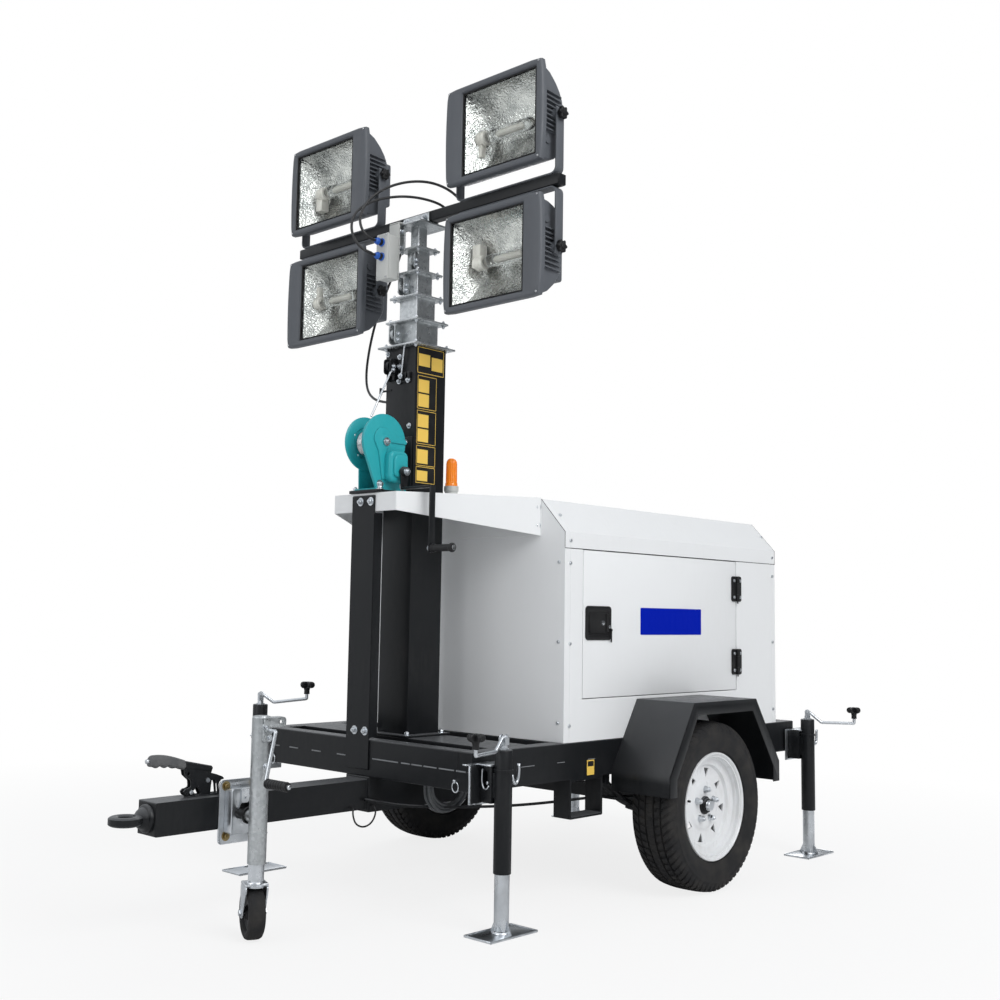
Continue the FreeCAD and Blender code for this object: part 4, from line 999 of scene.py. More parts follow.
# %% Pulley cheeks
def cheeks(name, body, finish, y_pair, z0, z1, x_face, reach, slot):
    made = []
    for y in y_pair:
        cheek = rounded_plate(x_face / 1000, z0 / 1000, (x_face + reach) / 1000, z1 / 1000, 0.012, 4,
                              (y - 2.5) / 1000, (y + 2.5) / 1000)
        made.append(eased(cheek, 0.8, 1))
    middle = (y_pair[0] + y_pair[1]) / 2
    z = (z0 + z1) / 2
    wheel = turned([(4, -7), (20, -7), (17, -2), (17, 2), (20, 7), (4, 7)], at(x_face + reach * 0.55, middle, z),
                   "y", 24)
    made.append(wheel)
    finished(coated(joined(*made), finish), name, body)
    spots = []
    for y, out in ((max(y_pair) + 2.5, 1), (min(y_pair) - 2.5, -1)):
        spots += [(at(x_face + reach * 0.55, y, z), (0, out, 0)),
                  (at(x_face + reach * 0.6, y, z0 + 14), (0, out, 0))]
    fasteners(name + "_bolts", body, "zinc", "small_bolt", spots)


cheeks("rope_guide", "trailer", "frame_black", (-62, -30), 1872, 1930, 896, 40, "frame_black")
backing = plate(rounded_box(-0.088, 1.884, 0.002, 1.970, 0.004, 3), "x", AXLE + 0.896, AXLE + 0.902)
lugs = [block(at(896, y - 5, 1850), at(908, y + 5, 1874)) for y in (-70, -40, -8, 22, 40)]
finished(coated(joined(eased(backing, 1.5), *[eased(l, 1.5) for l in lugs]), "frame_black"), "rope_bracket",
         "trailer")
fasteners("rope_bracket_bolts", "trailer", "zinc", "small_bolt",
          [(at(902, y, z), (1, 0, 0)) for y, z in ((-77, 1920), (-77, 1954), (-13, 1936), (-13, 1900))])
strands = [rod(at(1016, -36, 1700), at(922, -30, 1894), 4, 4, 12),
           rod(at(912, 22, 1972), at(906, 2, 1866), 3.5, 3.5, 12)]
clip = rod(at(906, 2, 1852), at(906, 2, 1872), 6)
finished(coated(joined(*strands, clip), "zinc"), "hoist_wire", "trailer")
cheeks("section_1_cheeks", "mast_section_1", "galvanised", (-50, -20), 1986, 2060, 886, 40, "galvanised")
cheeks("section_3_cheeks", "mast_section_3", "galvanised", (-36, -8), 2178, 2246, 868, 30, "galvanised")
cheeks("section_4_cheeks", "mast_section_4", "galvanised", (12, 30), 2272, 2336, 860, 22, "galvanised")
COLLARS = [("0", "trailer", 1980, 86), ("1", "mast_section_1", 2074, 76), ("2", "mast_section_2", 2168, 67),
           ("3", "mast_section_3", 2262, 58), ("4", "mast_section_4", 2356, 50)]
for tag, body, z, half in COLLARS:
    spots = [(at(MAST_X + sx * (half - 6), sy * (half - 6), z), (0, 0, 1)) for sx in (1, -1) for sy in (1, -1)]
    spots += [(at(MAST_X + sx * (half - 6), sy * (half - 6), z - 8), (0, 0, -1)) for sx in (1, -1)
              for sy in (1, -1)]
    fasteners("collar_bolts_" + tag, body, "zinc", "small_bolt", spots)
anchor = eased(block(at(896, -4, 1846), at(914, 14, 1872)), 3)
stop = joined(eased(block(at(896, -118, 1806), at(906, -110, 1830)), 1.5),
              block(at(890, -116, 1814), at(898, -60, 1820)))
strap = eased(block(at(896, -24, 1838), at(902, 46, 1850)), 1.5)
finished(coated(joined(anchor, strap, stop), "frame_black"), "rope_anchor", "trailer")
fasteners("mast_bolts", "trailer", "zinc", "small_bolt",
          [(at(896, 39, 1674), (1, 0, 0)), (at(914, 6, 1860), (1, 0, 0)), (at(902, 34, 1844), (1, 0, 0)),
           (at(902, -14, 1844), (1, 0, 0)), (at(903, 30, 1612), (1, 0, 0))])


# %% [markdown]
# Zinc runs hang from the collars' lower edges where the dip drained. Short cones of different lengths stand in
# rows under the front and left edges.

# %% Zinc runs
for tag, body, top, bolts_at in COLLARS:
    z, half = top - 8, bolts_at + 8
    drops = []
    for k in range(11):
        share = (k + 0.5 + 0.3 * math.sin(7.3 * k + half)) / 11
        deep = 2.2 + 2.6 * abs(math.sin(2.7 * k + z))
        run = -half + 2 * half * share
        for spot in (at(MAST_X + half - 2.2, run, z), at(MAST_X + run, half - 2.2, z)):
            drops.append(rod(spot + mm(0, 0, 0.4), spot - mm(0, 0, deep), 2.0, 0.7, sides=6))
    finished(coated(joined(*drops), "galvanised"), "zinc_runs_" + tag, body)


# %% [markdown]
# The head of the mast is a plate with two cheeks that grip the lamp bar. The bar is a square tube with plastic
# caps. Each stirrup is a flat bar bent round two corners, made as an outline and extruded across.

# %% Lamp bar and stirrups
bar = eased(block(at(810, -698, 2450.2), at(850, 698, 2490)), 4, 3)
caps = [eased(block(at(811.5, s * 698, 2451.7), at(848.5, s * 700, 2488.3)), 1, 1) for s in (1, -1)]
finished(coated(joined(bar, *caps), "frame_black"), "lamp_crossbar", "mast_head", ["lamp_bar"])


def stirrup(side, up):
    half, thick, bend, foot, top = 238, 6, 26, 20.4, 262
    outer = ([(half - 12, top), (half, top - 12)] + bow((half - bend, foot + bend), bend, 0, -90, 6)
             + bow((-half + bend, foot + bend), bend, -90, -180, 6) + [(-half, top - 12), (-half + 12, top)])
    tight, inner = bend - thick, half - thick
    inside = ([(-inner, top - 2)] + bow((-half + bend, foot + bend), tight, 180, 270, 6)
              + bow((half - bend, foot + bend), tight, -90, 0, 6) + [(inner, top - 2)])
    outline = [(side * 0.450 + a / 1000, 2.470 + up * b / 1000) for a, b in outer[1:-1] + inside]
    return eased(plate(outline, "x", AXLE + 0.810, AXLE + 0.850), 1.2, 2)


for tag, side, up in (("1", 1, 1), ("2", -1, 1), ("3", 1, -1), ("4", -1, -1)):
    finished(coated(stirrup(side, up), "lamp_grey"), "stirrup_" + tag, "mast_head")
    knobs = []
    for end in (1, -1):
        hub = at(MAST_X, side * 450 + end * 238.2, 2470 + up * 235)
        lobes = [(20 + 3.4 * math.cos(6 * a), a) for a in [2 * math.pi * i / 48 for i in range(48)]]
        outline = [(hub.z + r / 1000 * math.sin(a), hub.x + r / 1000 * math.cos(a)) for r, a in lobes]
        y0, y1 = hub.y + end * 0.004, hub.y + end * 0.019
        star = plate([(x, z) for z, x in outline], "y", min(y0, y1), max(y0, y1))
        knobs += [eased(star, 2.5, 2), rod(hub, hub + mm(0, end * 5, 0), 15),
                  eased(rod(hub, hub + mm(0, end * 22, 0), 11), 2)]
    finished(coated(joined(*knobs), "black_plastic"), "tilt_knobs_" + tag, "mast_head")

head = eased(block(at(752, -60, 2441.4), at(900, 78, 2449.8)), 2)
front = eased(block(at(885, -58, 2345), at(890, -14, 2441)), 1.5)
ear = eased(block(at(850.4, -60, 2449.8), at(856, 78, 2484)), 1.5)
back_ear = eased(block(at(804, -60, 2449.8), at(809.6, 78, 2484)), 1.5)
finished(coated(joined(head, front, ear, back_ear), "galvanised"), "bar_clamp", "mast_head")
fasteners("bar_clamp_bolts", "mast_head", "zinc", "bolt",
          [(at(856, -40, 2468), (1, 0, 0)), (at(856, 58, 2468), (1, 0, 0)), (at(890, -36, 2424), (1, 0, 0)),
           (at(872, -40, 2449.8), (0, 0, 1)), (at(872, 58, 2449.8), (0, 0, 1)), (at(890, -36, 2360), (1, 0, 0))])


# %% [markdown]
# The lamp leads plug into a small grey box through two blue glands, one over the other. A gland is turned about
# its own axis, with a ribbed nut between two smooth rings.

# %% Junction box
case = eased(block(at(912, -80, 2226), at(962, -22, 2396)), 6, 3)
lid = eased(block(at(962, -82, 2223), at(971, -20, 2399)), 3, 2)
foot = eased(block(at(906, -78, 2230), at(912, -24, 2449)), 1.5)
tab = eased(block(at(850.4, -78, 2450), at(912, -24, 2455)), 1.5)
finished(coated(joined(case, lid, foot, tab), "box_grey"), "junction_case", "mast_head",
         ["junction_box"])
fasteners("junction_screws", "mast_head", "steel", "small_screw",
          [(at(971, y, z), (1, 0, 0)) for y in (-75, -27) for z in (2230, 2392)])
for tag, z in (("upper", 2365), ("lower", 2310)):
    rings, dark = [], []
    for x0, x1, r in ((971, 977, 15), (990, 996, 13)):
        ring = [(z / 1000 + (r + (1.2 if k % 3 else -0.4)) / 1000 * math.sin(2 * math.pi * k / 36),
                 -0.051 + (r + (1.2 if k % 3 else -0.4)) / 1000 * math.cos(2 * math.pi * k / 36))
                for k in range(36)]
        rings.append(eased(plate([(b, a) for a, b in ring], "x", AXLE + x0 / 1000, AXLE + x1 / 1000), 0.8, 1))
    rings.append(turned([(5.2, 996), (12, 996), (11, 1001), (8, 1006), (5.2, 1006)], (AXLE, -0.051, z / 1000), "x",
                        28))
    dark.append(turned([(5.2, 977), (12.5, 977), (12.5, 990), (5.2, 990)], (AXLE, -0.051, z / 1000), "x", 28))
    finished(coated(joined(*rings), "gland_blue"), "gland_" + tag, "mast_head")
    finished(coated(joined(*dark), "black_plastic"), "gland_core_" + tag, "mast_head")


# %% [markdown]
# The winch is the piece that the eye goes to. A round flange and a pear-shaped side plate hold the rope drum,
# a raised arch carries the hub bolt, and a moulded cover hides the gears. Everything is enamelled teal, apart
# from the black cranked handle.

# %% Hand winch
def pear(low_front, low_rear, z_base, radius):
    """Side plate outline: round at the top, then straight down to its foot, x and z in millimetres."""
    head_arc = bow((WINCH_X, WINCH_Z), radius, 200, -22, 26)
    return [(AXLE + a / 1000, b / 1000) for a, b in head_arc + [(low_front, z_base), (low_rear, z_base)]]


near = eased(plate(pear(1064, 922, 1426, 101), "y", 0.050, 0.058), 2.5, 3)
rim = plate(pear(1060, 926, 1430, 97), "y", 0.040, 0.0505)
far_foot = side_plate([(1050, 1426), (922, 1426), (922, 1560), (960, 1600), (1020, 1640), (1056, 1560),
                       (1052, 1500)], -0.058, -0.052)
flange = turned([(10, -50), (95, -50), (98, -48), (98, -44), (95, -42), (60, -42), (56, -46), (10, -46)],
                at(WINCH_X, 0, WINCH_Z), "y", 64)
second = turned([(10, 36), (92, 36), (92, 40), (10, 40)], at(WINCH_X, 0, WINCH_Z), "y", 64)
base = eased(block(at(918, -58, 1424.2), at(1068, 58, 1430)), 1.5)
arch_top = bow((1040, 1604), 44, 146, -8, 14)
arch = side_plate(arch_top + [(1062, 1560), (1044, 1462), (1022, 1462), (1028, 1560), (1018, 1588), (1004, 1597),
                              (930, 1597), (926, 1604), (932, 1612)], 0.0575, 0.0635)
cover = rounded_plate(0.944, 1.452, 1.034, 1.566, 0.024, 6, 0.057, 0.094)
tower = rounded_plate(0.958, 1.470, 1.020, 1.550, 0.018, 6, 0.093, 0.104)
flange = carved(flange,
                *[rod(at(x, -70, z), at(x, -30, z), r)
                  for x, z, r in ((1083, 1625, 5), (1065, 1552, 4.5), (985, 1650, 5))])
hub = eased(rod(at(WINCH_X, 57, WINCH_Z), at(WINCH_X, 68, WINCH_Z), 15), 2)
collar = eased(rod(at(WINCH_X, 57, WINCH_Z), at(WINCH_X, 64, WINCH_Z), 26), 2)
winch = joined(near, eased(rim, 2), eased(far_foot, 1.5), flange, second, base, eased(arch, 2, 3),
               eased(cover, 11, 4), eased(tower, 4, 3), hub, collar)
smoothed(winch, 35)
finished(coated(winch, "winch_teal"), "hand_winch", "trailer", ["winch"])
fasteners("winch_bolts", "trailer", "zinc", "bolt",
          [(at(WINCH_X, 68, WINCH_Z), (0, 1, 0)), (at(1018, 63.5, 1478), (0, 1, 0)), (at(940, 58, 1444), (0, 1, 0)),
           (at(1050, 58, 1444), (0, 1, 0)), (at(1056, -66, 1424.5), (0, 0, 1)), (at(936, -66, 1424.5), (0, 0, 1)),
           (at(1056, 66, 1424.5), (0, 0, 1))])

drum = turned([(12, -42), (46, -42)] + [(46 + 2.2 * abs(math.sin(math.pi * k / 4)), -42 + k * 1.56)
                                        for k in range(1, 50)]
              + [(46, 36), (12, 36)], at(WINCH_X, 0, WINCH_Z), "y", 48)
finished(coated(drum, "steel"), "winch_rope_drum", "trailer")

shaft = eased(rod(at(CRANK_X, 104, CRANK_Z), at(CRANK_X, 128, CRANK_Z), 17), 3, 2)
lever = side_plate(bow((CRANK_X, CRANK_Z), 19, 200, -20, 10) + [(998, 1428), (972, 1428)], 0.110, 0.117)
arm = eased(plate([(0.110, 1.426), (0.258, 1.426), (0.262, 1.430), (0.262, 1.434), (0.110, 1.434)], "x",
                  AXLE + 0.972, AXLE + 0.998), 1.5)
drop = eased(plate([(0.262, 1.434), (0.256, 1.434), (0.256, 1.200), (0.262, 1.200)], "x", AXLE + 0.972,
                   AXLE + 0.998), 1.5)
finished(coated(joined(shaft, eased(lever, 1.5), arm, drop), "frame_black"), "winch_crank", "trailer")
fasteners("crank_bolt", "trailer", "zinc", "bolt",
          [(at(CRANK_X, 128, CRANK_Z), (0, 1, 0)), (at(CRANK_X, 256, 1215), (0, -1, 0))])
grip = turned([(3, 263), (14, 263), (15.5, 267), (15.5, 274), (12.5, 279), (12.5, 345), (13.5, 352), (16, 356),
               (16, 363), (13, 367), (3, 367)],
              at(CRANK_X, 0, 1215), "y", 28)
finished(coated(grip, "black_plastic"), "crank_grip", "trailer")
washer = eased(rod(at(CRANK_X, 367, 1215), at(CRANK_X, 370, 1215), 9), 0.8, 1)
finished(coated(washer, "steel"), "crank_grip_washer", "trailer")


# %% [markdown]
# The beacon is a ribbed amber cup on a white foot. The ribs stand in the plastic, so the radius of each ring
# point swings in and out as it goes round.

# %% Beacon
rings = []
for z, r, rib in ((1466, 21, 0), (1466, 23.4, 0), (1478, 23.4, 0), (1480, 21.2, 0), (1484, 20.6, 0.9),
                  (1552, 19.7, 0.9), (1560, 18.8, 0.4), (1568, 14.8, 0), (1572, 8, 0)):
    rings.append([at(690 + (r + rib * math.cos(18 * a)) * math.cos(a),
                     60 + (r + rib * math.cos(18 * a)) * math.sin(a), z)
                  for a in [2 * math.pi * i / 108 for i in range(108)]])
lens_cup = skin(rings)
smoothed(lens_cup, 50)
finished(coated(lens_cup, "beacon_amber"), "beacon_lens", "trailer", ["beacon"])
stand = turned([(1, SHELF_Z), (30, SHELF_Z), (30, 1416), (24, 1422), (24, 1444), (27.5, 1448), (27.5, 1465.8),
                (1, 1465.8)],
               at(690, 60, 0), "z", 36, closed=False)
finished(coated(stand, "box_grey"), "beacon_stand", "trailer")


# %% [markdown]
# A column of sign plates runs down the left face of the mast. The plates stay blank here: yellow fields in thin
# yellow frames on a black ground.

# %% Blank sign plates
def sign_block(x1, x0, z1, z0, lift=0.8):
    return block(at(x0, 66.0, z0), at(x1, 66.0 + lift, z1))


ground = [sign_block(888, 748, 1972, 1868, 0.5), sign_block(888, 783, 1868, 1466, 0.5)]
finished(coated(joined(*[eased(g, 0.2, 1) for g in ground]), "black_plastic"), "sign_ground", "trailer")
yellow = []


def yellow_frame(x1, x0, z1, z0, line=2.2):
    return [sign_block(x1, x0, z1, z1 - line), sign_block(x1, x0, z0 + line, z0),
            sign_block(x1, x1 - line, z1, z0), sign_block(x0 + line, x0, z1, z0)]


yellow += yellow_frame(886, 750, 1969, 1871)
yellow += [sign_block(880, 822, 1944, 1898), sign_block(814, 756, 1938, 1888)]
for top, rows in ((1862, (48, 48)), (1732, (48, 48)), (1602, (52,)), (1524, (38,))):
    tall = 16 + sum(rows) + 6 * len(rows)
    yellow += yellow_frame(883, 786, top, top - tall, 1.8)
    z = top - 14
    for row in rows:
        yellow.append(sign_block(878, 824, z, z - row))
        z -= row + 6
yellow_plate = joined(*yellow)
finished(coated(yellow_plate, "plate_yellow"), "sign_fields", "trailer")


# %% [markdown]
# A road wheel is a tyre and a white steel rim, both turned about the axle. The tyre's tread comes from moving
# ring points in and out: round grooves follow the profile, and slanted slots follow the angle.

# %% Tyres
TREAD = [(70, 178.6, 0), (70, 186, 0), (74, 199.5, 0), (80, 203, 0), (83, 212, 0), (88, 224, 0), (91.6, 240, 0),
         (92.4, 252, 0), (91.4, 262, 0), (92.2, 264, 0), (92, 269, 0), (90.4, 271, 0), (87.5, 282, 2.2),
         (83, 291, 3.4), (78, 298, 4.6), (73, 302, 5), (51, 305.4, 5), (50, 304.6, 0), (48.5, 299, 0), (44, 299, 0),
         (42.5, 305.4, 0), (41.5, 306.2, 4), (22, 306.9, 4), (21, 306, 0), (19.5, 299.6, 0), (15, 299.6, 0),
         (13.5, 306.4, 0), (12.5, 307, 1.2)]
PITCHES = 66
STATIONS = [(0.0, 0), (0.62, 0), (0.66, 1), (0.96, 1)]


def tyre(side):
    profile = TREAD + [(-w, r, d) for w, r, d in reversed(TREAD)]
    rings = []
    for k in range(PITCHES):
        for share, sunk in STATIONS:
            ring = []
            for w, r, deep in profile:
                slant = 0.55 * (w / 50) ** 2 if abs(w) > 45 else 0.012 * abs(w) + 0.25
                a = 2 * math.pi * (k + share + slant) / PITCHES
                radius = r - deep * sunk
                ring.append(at(radius * math.cos(a), side * (TRACK + w), WHEEL_Z + radius * math.sin(a)))
            rings.append(ring)
    piece = skin(rings, closed=True)
    return smoothed(piece, 32)


for tag, side in (("left", 1), ("right", -1)):
    finished(coated(tyre(side), "tyre"), "road_tyre_" + tag, "wheel_" + tag, ["tyre_" + tag])


# %% [markdown]
# The rim's disc has eight three-cornered holes that point in and out by turns. A black hub with a zinc cap
# stands in the middle of five lug nuts.

# %% Rims and hubs
RIM = [(195, 70.6), (195, 75), (193, 78.4), (189, 79), (185.5, 76.5), (183, 70), (181.5, 60), (177, 56.5),
       (175, 50), (174, 44), (169, 41), (160, 40), (152, 40), (148, 38.4), (146, 34), (142, 27.5), (136, 26),
       (98, 26), (90, 27), (84, 31.5), (78, 33), (50, 33), (44, 31), (33, 31), (33, 26), (44, 26), (76, 27.5),
       (86, 22), (96, 20.5), (136, 20.5), (146, 22), (152, 30), (158, 34), (164, 30), (164, -44), (174, -54),
       (178, -60), (181, -70), (186, -77), (190, -79), (194, -78), (195, -74), (195, -70.6), (178.2, -70.6),
       (177.6, -54), (167.5, -44), (167.5, 30), (177.6, 36), (178.2, 70.6)]


def triangle(angle, out, side):
    """A rounded three-cornered punch through the disc at an angle, its point inwards or outwards."""
    corners = [(134, 16.5), (134, -16.5), (100, 0)] if out else [(102, 14), (102, -14), (136, 0)]
    outline = []
    for i, corner in enumerate(corners):
        before, after = corners[i - 1], corners[(i + 1) % 3]
        for share in (0.14, 0.04):
            outline.append([corner[n] + (before[n] - corner[n]) * share for n in (0, 1)])
        outline.append([corner[n] + (after[n] - corner[n]) * 0.14 for n in (0, 1)])
    turn = [(r * math.cos(angle) - t * math.sin(angle), r * math.sin(angle) + t * math.cos(angle))
            for r, t in outline]
    y0, y1 = sorted((side * 0.704, side * 0.730))
    return plate([(AXLE + a / 1000, 0.307 + b / 1000) for a, b in turn], "y", y0, y1)


for tag, side in (("left", 1), ("right", -1)):
    rim = turned([(r, side * w) for r, w in RIM], at(0, side * TRACK, WHEEL_Z), "y", 96)
    carved(rim, *[triangle(math.radians(45 * i + 9), i % 2 == 0, side) for i in range(8)])
    smoothed(rim, 38)
    finished(coated(rim, "rim_white"), "road_rim_" + tag, "wheel_" + tag, ["rim_" + tag])
    hub = turned([(r, side * w) for r, w in
                  ((20.4, -30), (32.6, -30), (32.6, 36), (30, 39), (26, 40), (25.5, 47), (23, 48.5), (20.4, 48.5))],
                 at(0, side * TRACK, WHEEL_Z), "y", 40)
    finished(coated(hub, "frame_black"), "road_hub_" + tag, "wheel_" + tag)
    cap = turned([(1, side * 46), (19, side * 46), (19.4, side * 50), (18.2, side * 51), (18.2, side * 58),
                  (16, side * 61.4), (1, side * 62)], at(0, side * TRACK, WHEEL_Z), "y", 36)
    finished(coated(cap, "zinc"), "hub_cap_" + tag, "wheel_" + tag)
    nuts = []
    for i in range(5):
        a = math.radians(72 * i + 20)
        spot = at(57 * math.cos(a), side * TRACK, WHEEL_Z + 57 * math.sin(a))
        for profile, steps in (([(1, 33), (13.5, 33), (12, 36), (10.5, 40), (1, 40)], 24),
                               ([(1, 40), (10.6, 40), (10.4, 50), (8.4, 53), (1, 53)], 6),
                               ([(1, 53), (5.6, 53), (5.6, 56), (4.6, 57), (1, 57)], 12)):
            nuts.append(turned([(r, side * w) for r, w in profile], spot, "y", steps))
    finished(coated(joined(*nuts), "zinc"), "lug_nuts_" + tag, "wheel_" + tag)
    valve = joined(rod(at(152, side * 728, 340), at(150, side * 752, 338), 4, 3, 12),
                   rod(at(150, side * 752, 338), at(149.6, side * 760, 337.6), 4.4, 4.4, 12))
    finished(coated(valve, "black_plastic"), "valve_" + tag, "wheel_" + tag)


# %% [markdown]
# Each fender is one sheet bent over the tyre at four lines, with a flat lip that frames the wheel.

# %% Fenders
crest = [(334, 369), (334, 441), (179, 690), (-241, 690), (-410, 445), (-410, 369)]
under = [(-406, 369), (-406, 443), (-239, 686), (177, 686), (330, 439), (330, 369)]
mouth = [(-365, 369), (-365, 430), (-217, 645), (155, 645), (289, 428), (289, 369)]
guards = []
for side in (1, -1):
    for line, inner, outer in ((under, 546.2, 800), (mouth, 796, 800)):
        low, high = sorted((side * inner / 1000, side * outer / 1000))
        guards.append(eased(side_plate(crest + line, low, high), 1.2, 2))
finished(coated(joined(*guards), "frame_black"), "fender_sheets", "trailer", ["fenders"])


# %% [markdown]
# Each corner has a tube jack on a sliding arm. Its tube is black, and the crank on top of it, the hook beside
# it and the plate behind it are zinc. The small parts repeat at all four corners, mirrored.

# %% Jacks
CRANKS = {"1": (12, 172, 608, 52, 564, 562, 583), "2": (134, 179, 668, 52, 635, 651, 671),
          "3": (121, 192, 600, 58, 555, 556, 578), "4": (236, 172, 600, 58, 555, 556, 578)}


def corner_jack(tag, x, end, side):
    top = 627 if tag == "2" else 567
    y = side * 637
    low, mid = 426, 489

    def slab(x0, x1, y0, y1, z0, z1):
        """A block between two distances from the jack's axis, y outwards."""
        near_x, far_x = (x0, x1) if end > 0 else (-x1, -x0)
        near_y, far_y = sorted((side * y0, side * y1))
        return block(at(x + near_x, near_y, z0), at(x + far_x, far_y, z1))

    barrel = turned([(25.3, 185), (27.6, 185), (28.5, 186.4), (28.5, top - 2), (27, top), (1, top), (1, top - 6),
                     (25.3, top - 6)],
                    at(x, y, 0), "z", 48, closed=False)
    arm_x = (1012.3, 1063.7) if end > 0 else (-975.7, -924.3)
    spans = sorted((side * 70, side * 554))
    arm = carved(block(at(arm_x[0], spans[0], low + 4.3), at(arm_x[1], spans[1], mid - 4.3)),
                 block(at(arm_x[0] + 4, spans[0] - 10, low + 8.3), at(arm_x[1] - 4, spans[1] + 10, mid - 8.3)))
    bracket = eased(slab(-30, 29, 560, 612, 398, 514), 3)
    if end > 0:
        slot = plate(rounded_box(side * 0.585 - 0.011, 0.438, side * 0.585 + 0.011, 0.500, 0.0105, 6), "x",
                     AXLE + (x + 8) / 1000, AXLE + (x + 40) / 1000)
        bracket = carved(bracket, slot)
    pad = carved(eased(slab(-24, 24, 600, 637, 416, 493), 2), rod(at(x, y, 400), at(x, y, 510), 26.8, sides=48))
    ring = turned([(28.4, 498), (31, 498), (31, 506), (28.4, 506)], at(x, y, 0), "z", 40)
    face = eased(slab(-32, 68, 560, 563, 396, 514), 1)
    finished(coated(joined(eased(barrel, 0.6, 1), eased(arm, 3), bracket, pad, ring, face), "frame_black"),
             "jack_" + tag, "outrigger_" + tag, ["outrigger_" + tag])

    turn, reach, eye_z, bend_at, bend_z, end_z, foot_z = CRANKS[tag]
    ahead, aside = math.cos(math.radians(turn)), math.sin(math.radians(turn))

    def along(d, z, off=0.0):
        """A point on the crank's own upright plane, by its distance from the jack's axis."""
        return at(x + d * ahead - off * aside, y + d * aside + off * ahead, z)

    bar = bent(rounded_path([along(-8, eye_z - 4), along(4, eye_z), along(bend_at, bend_z), along(reach, end_z),
                             along(reach, foot_z)], 0.009), 6.4, 3)
    shaft = rod(at(x, y, top - 2), at(x, y, eye_z - 18), 8)
    ears = [rod(along(0, eye_z - 3, o), along(0, eye_z - 3, o + 4), 10.5, 10.5, 28) for o in (-11, 7)]
    webs = [block(*[Vector(map(f, along(-10, eye_z - 26, o), along(10, eye_z - 4, o + 4))) for f in (min, max)])
            for o in (-11, 7)]
    pin = rod(along(0, eye_z - 3, -14), along(0, eye_z - 3, 14), 4.5, 4.5, 16)
    nut = turned([(1, top), (17, top), (17, top + 4), (12, top + 5), (12, top + 14), (10, top + 16), (1, top + 16)],
                 at(x, y, 0), "z", 6)
    flange = eased(slab(-48, 48, 554, 560, 390, 520), 1.5)
    lid = eased(carved(slab(-30, 48, 560, 625, 516, 521), rod(at(x, y, 505), at(x, y, 532), 28.3, sides=48)), 1)
    edge = eased(slab(-20, 98, 550, 566, 516, 521), 1.5)
    rim = eased(slab(48, 74, 554, 560, 392, 516), 1.5)
    hook = bent([at(x - 32, y + side * 8, 487), at(x - 34, y + side * 8, 466), at(x - 52, y + side * 8, 456),
                 at(x - 64, y + side * 8, 478), at(x - 64, y + side * 8, 520)], 5.5, 4)
    finished(coated(joined(bar, shaft, pin, nut, flange, lid, edge, rim, hook, *ears, *webs), "zinc"),
             "jack_fittings_" + tag, "outrigger_" + tag)

    hub = along(reach, 0)
    rows = []
    for k in range(11):
        lean = math.pi * (k / 10 - 0.5)
        z = (foot_z + 33 + 13 * math.sin(lean)) / 1000
        row = []
        for i in range(60):
            a = 2 * math.pi * i / 60
            r = (6 + (15.5 + 9 * math.cos(5 * 2 * math.pi * i / 60)) * math.cos(lean) ** 0.5) / 1000
            row.append(Vector((hub.x + r * math.cos(a), hub.y + r * math.sin(a), z)))
        rows.append(row)
    star = skin(rows)
    stem = turned([(1, foot_z - 2), (11, foot_z - 2), (10.5, foot_z + 12), (13, foot_z + 22), (13, foot_z + 24),
                   (1, foot_z + 24)], hub, "z", 28)
    smoothed(star, 50)
    finished(coated(joined(star, stem), "black_plastic"), "jack_knob_" + tag, "outrigger_" + tag)

    links = [bent([at(x + end * 32, side * b, c)
                   for b, c in ((576, 504), (572, 472), (580, 444), (596, 440), (604, 454))], 2.6, 4),
             eased(rod(at(x + end * 27, side * 598, 462), at(x + end * 35, side * 598, 462), 5, 5, 16), 1)]
    ring_path = [at(x + end * 54, side * 478 + 14 * math.cos(a), 438 + 17 * math.sin(a))
                 for a in [1.6 + 2 * math.pi * i / 18 for i in range(19)]]
    if end > 0:
        links += [bent(ring_path, 2.2, 2),
                  eased(rod(at(1062, side * 479, 456), at(1078, side * 479, 456), 6, 6, 16), 1)]
    finished(coated(joined(*links), "zinc"), "jack_pin_" + tag, "outrigger_" + tag)

    leg = turned([(21, 14), (24, 14), (24, 384), (23, 385), (21, 385)], at(x, y, 0), "z", 48)
    guide = turned([(24, 356), (24.7, 356), (24.7, 384), (24, 384)], at(x, y, 0), "z", 40)
    sole = eased(block(at(x - 106, y - 53.5, 1), at(x + 106, y + 53.5, 6)), 1.5)
    lips = [block(at(x - 110, y - 57.5, 0), at(x + 110, y - 53, 8)),
            block(at(x - 110, y + 53, 0), at(x + 110, y + 57.5, 8)),
            block(at(x - 110, y - 57.5, 0), at(x - 105.5, y + 57.5, 8)),
            block(at(x + 105.5, y - 57.5, 0), at(x + 110, y + 57.5, 8))]
    gussets = [plate([(y / 1000 + s * 0.0235, 0.006), (y / 1000 + s * 0.044, 0.006),
                      (y / 1000 + s * 0.0235, 0.048)], "x",
                     (x - 2.5) / 1000 + AXLE, (x + 2.5) / 1000 + AXLE) for s in (1, -1)]
    weld = turned([(23.8, 6), (28, 6), (26.5, 9), (23.8, 12)], at(x, y, 0), "z", 40)
    foot = joined(leg, guide, sole, weld, *[eased(lip, 2) for lip in lips], *[eased(g, 0.8, 1) for g in gussets])
    finished(coated(foot, "zinc"), "jack_leg_" + tag, "leg_" + tag, ["leg_" + tag])


corner_jack("1", 1016, 1, 1)
corner_jack("2", 1016, 1, -1)
corner_jack("3", -939, -1, 1)
corner_jack("4", -939, -1, -1)


# %% [markdown]
# The jockey wheel's jack is clamped to a swivel plate on the drawbar's left side. Its crank comes out of the
# tube's side, bends down and ends in a ribbed plastic grip. The caster below has a forked bracket.

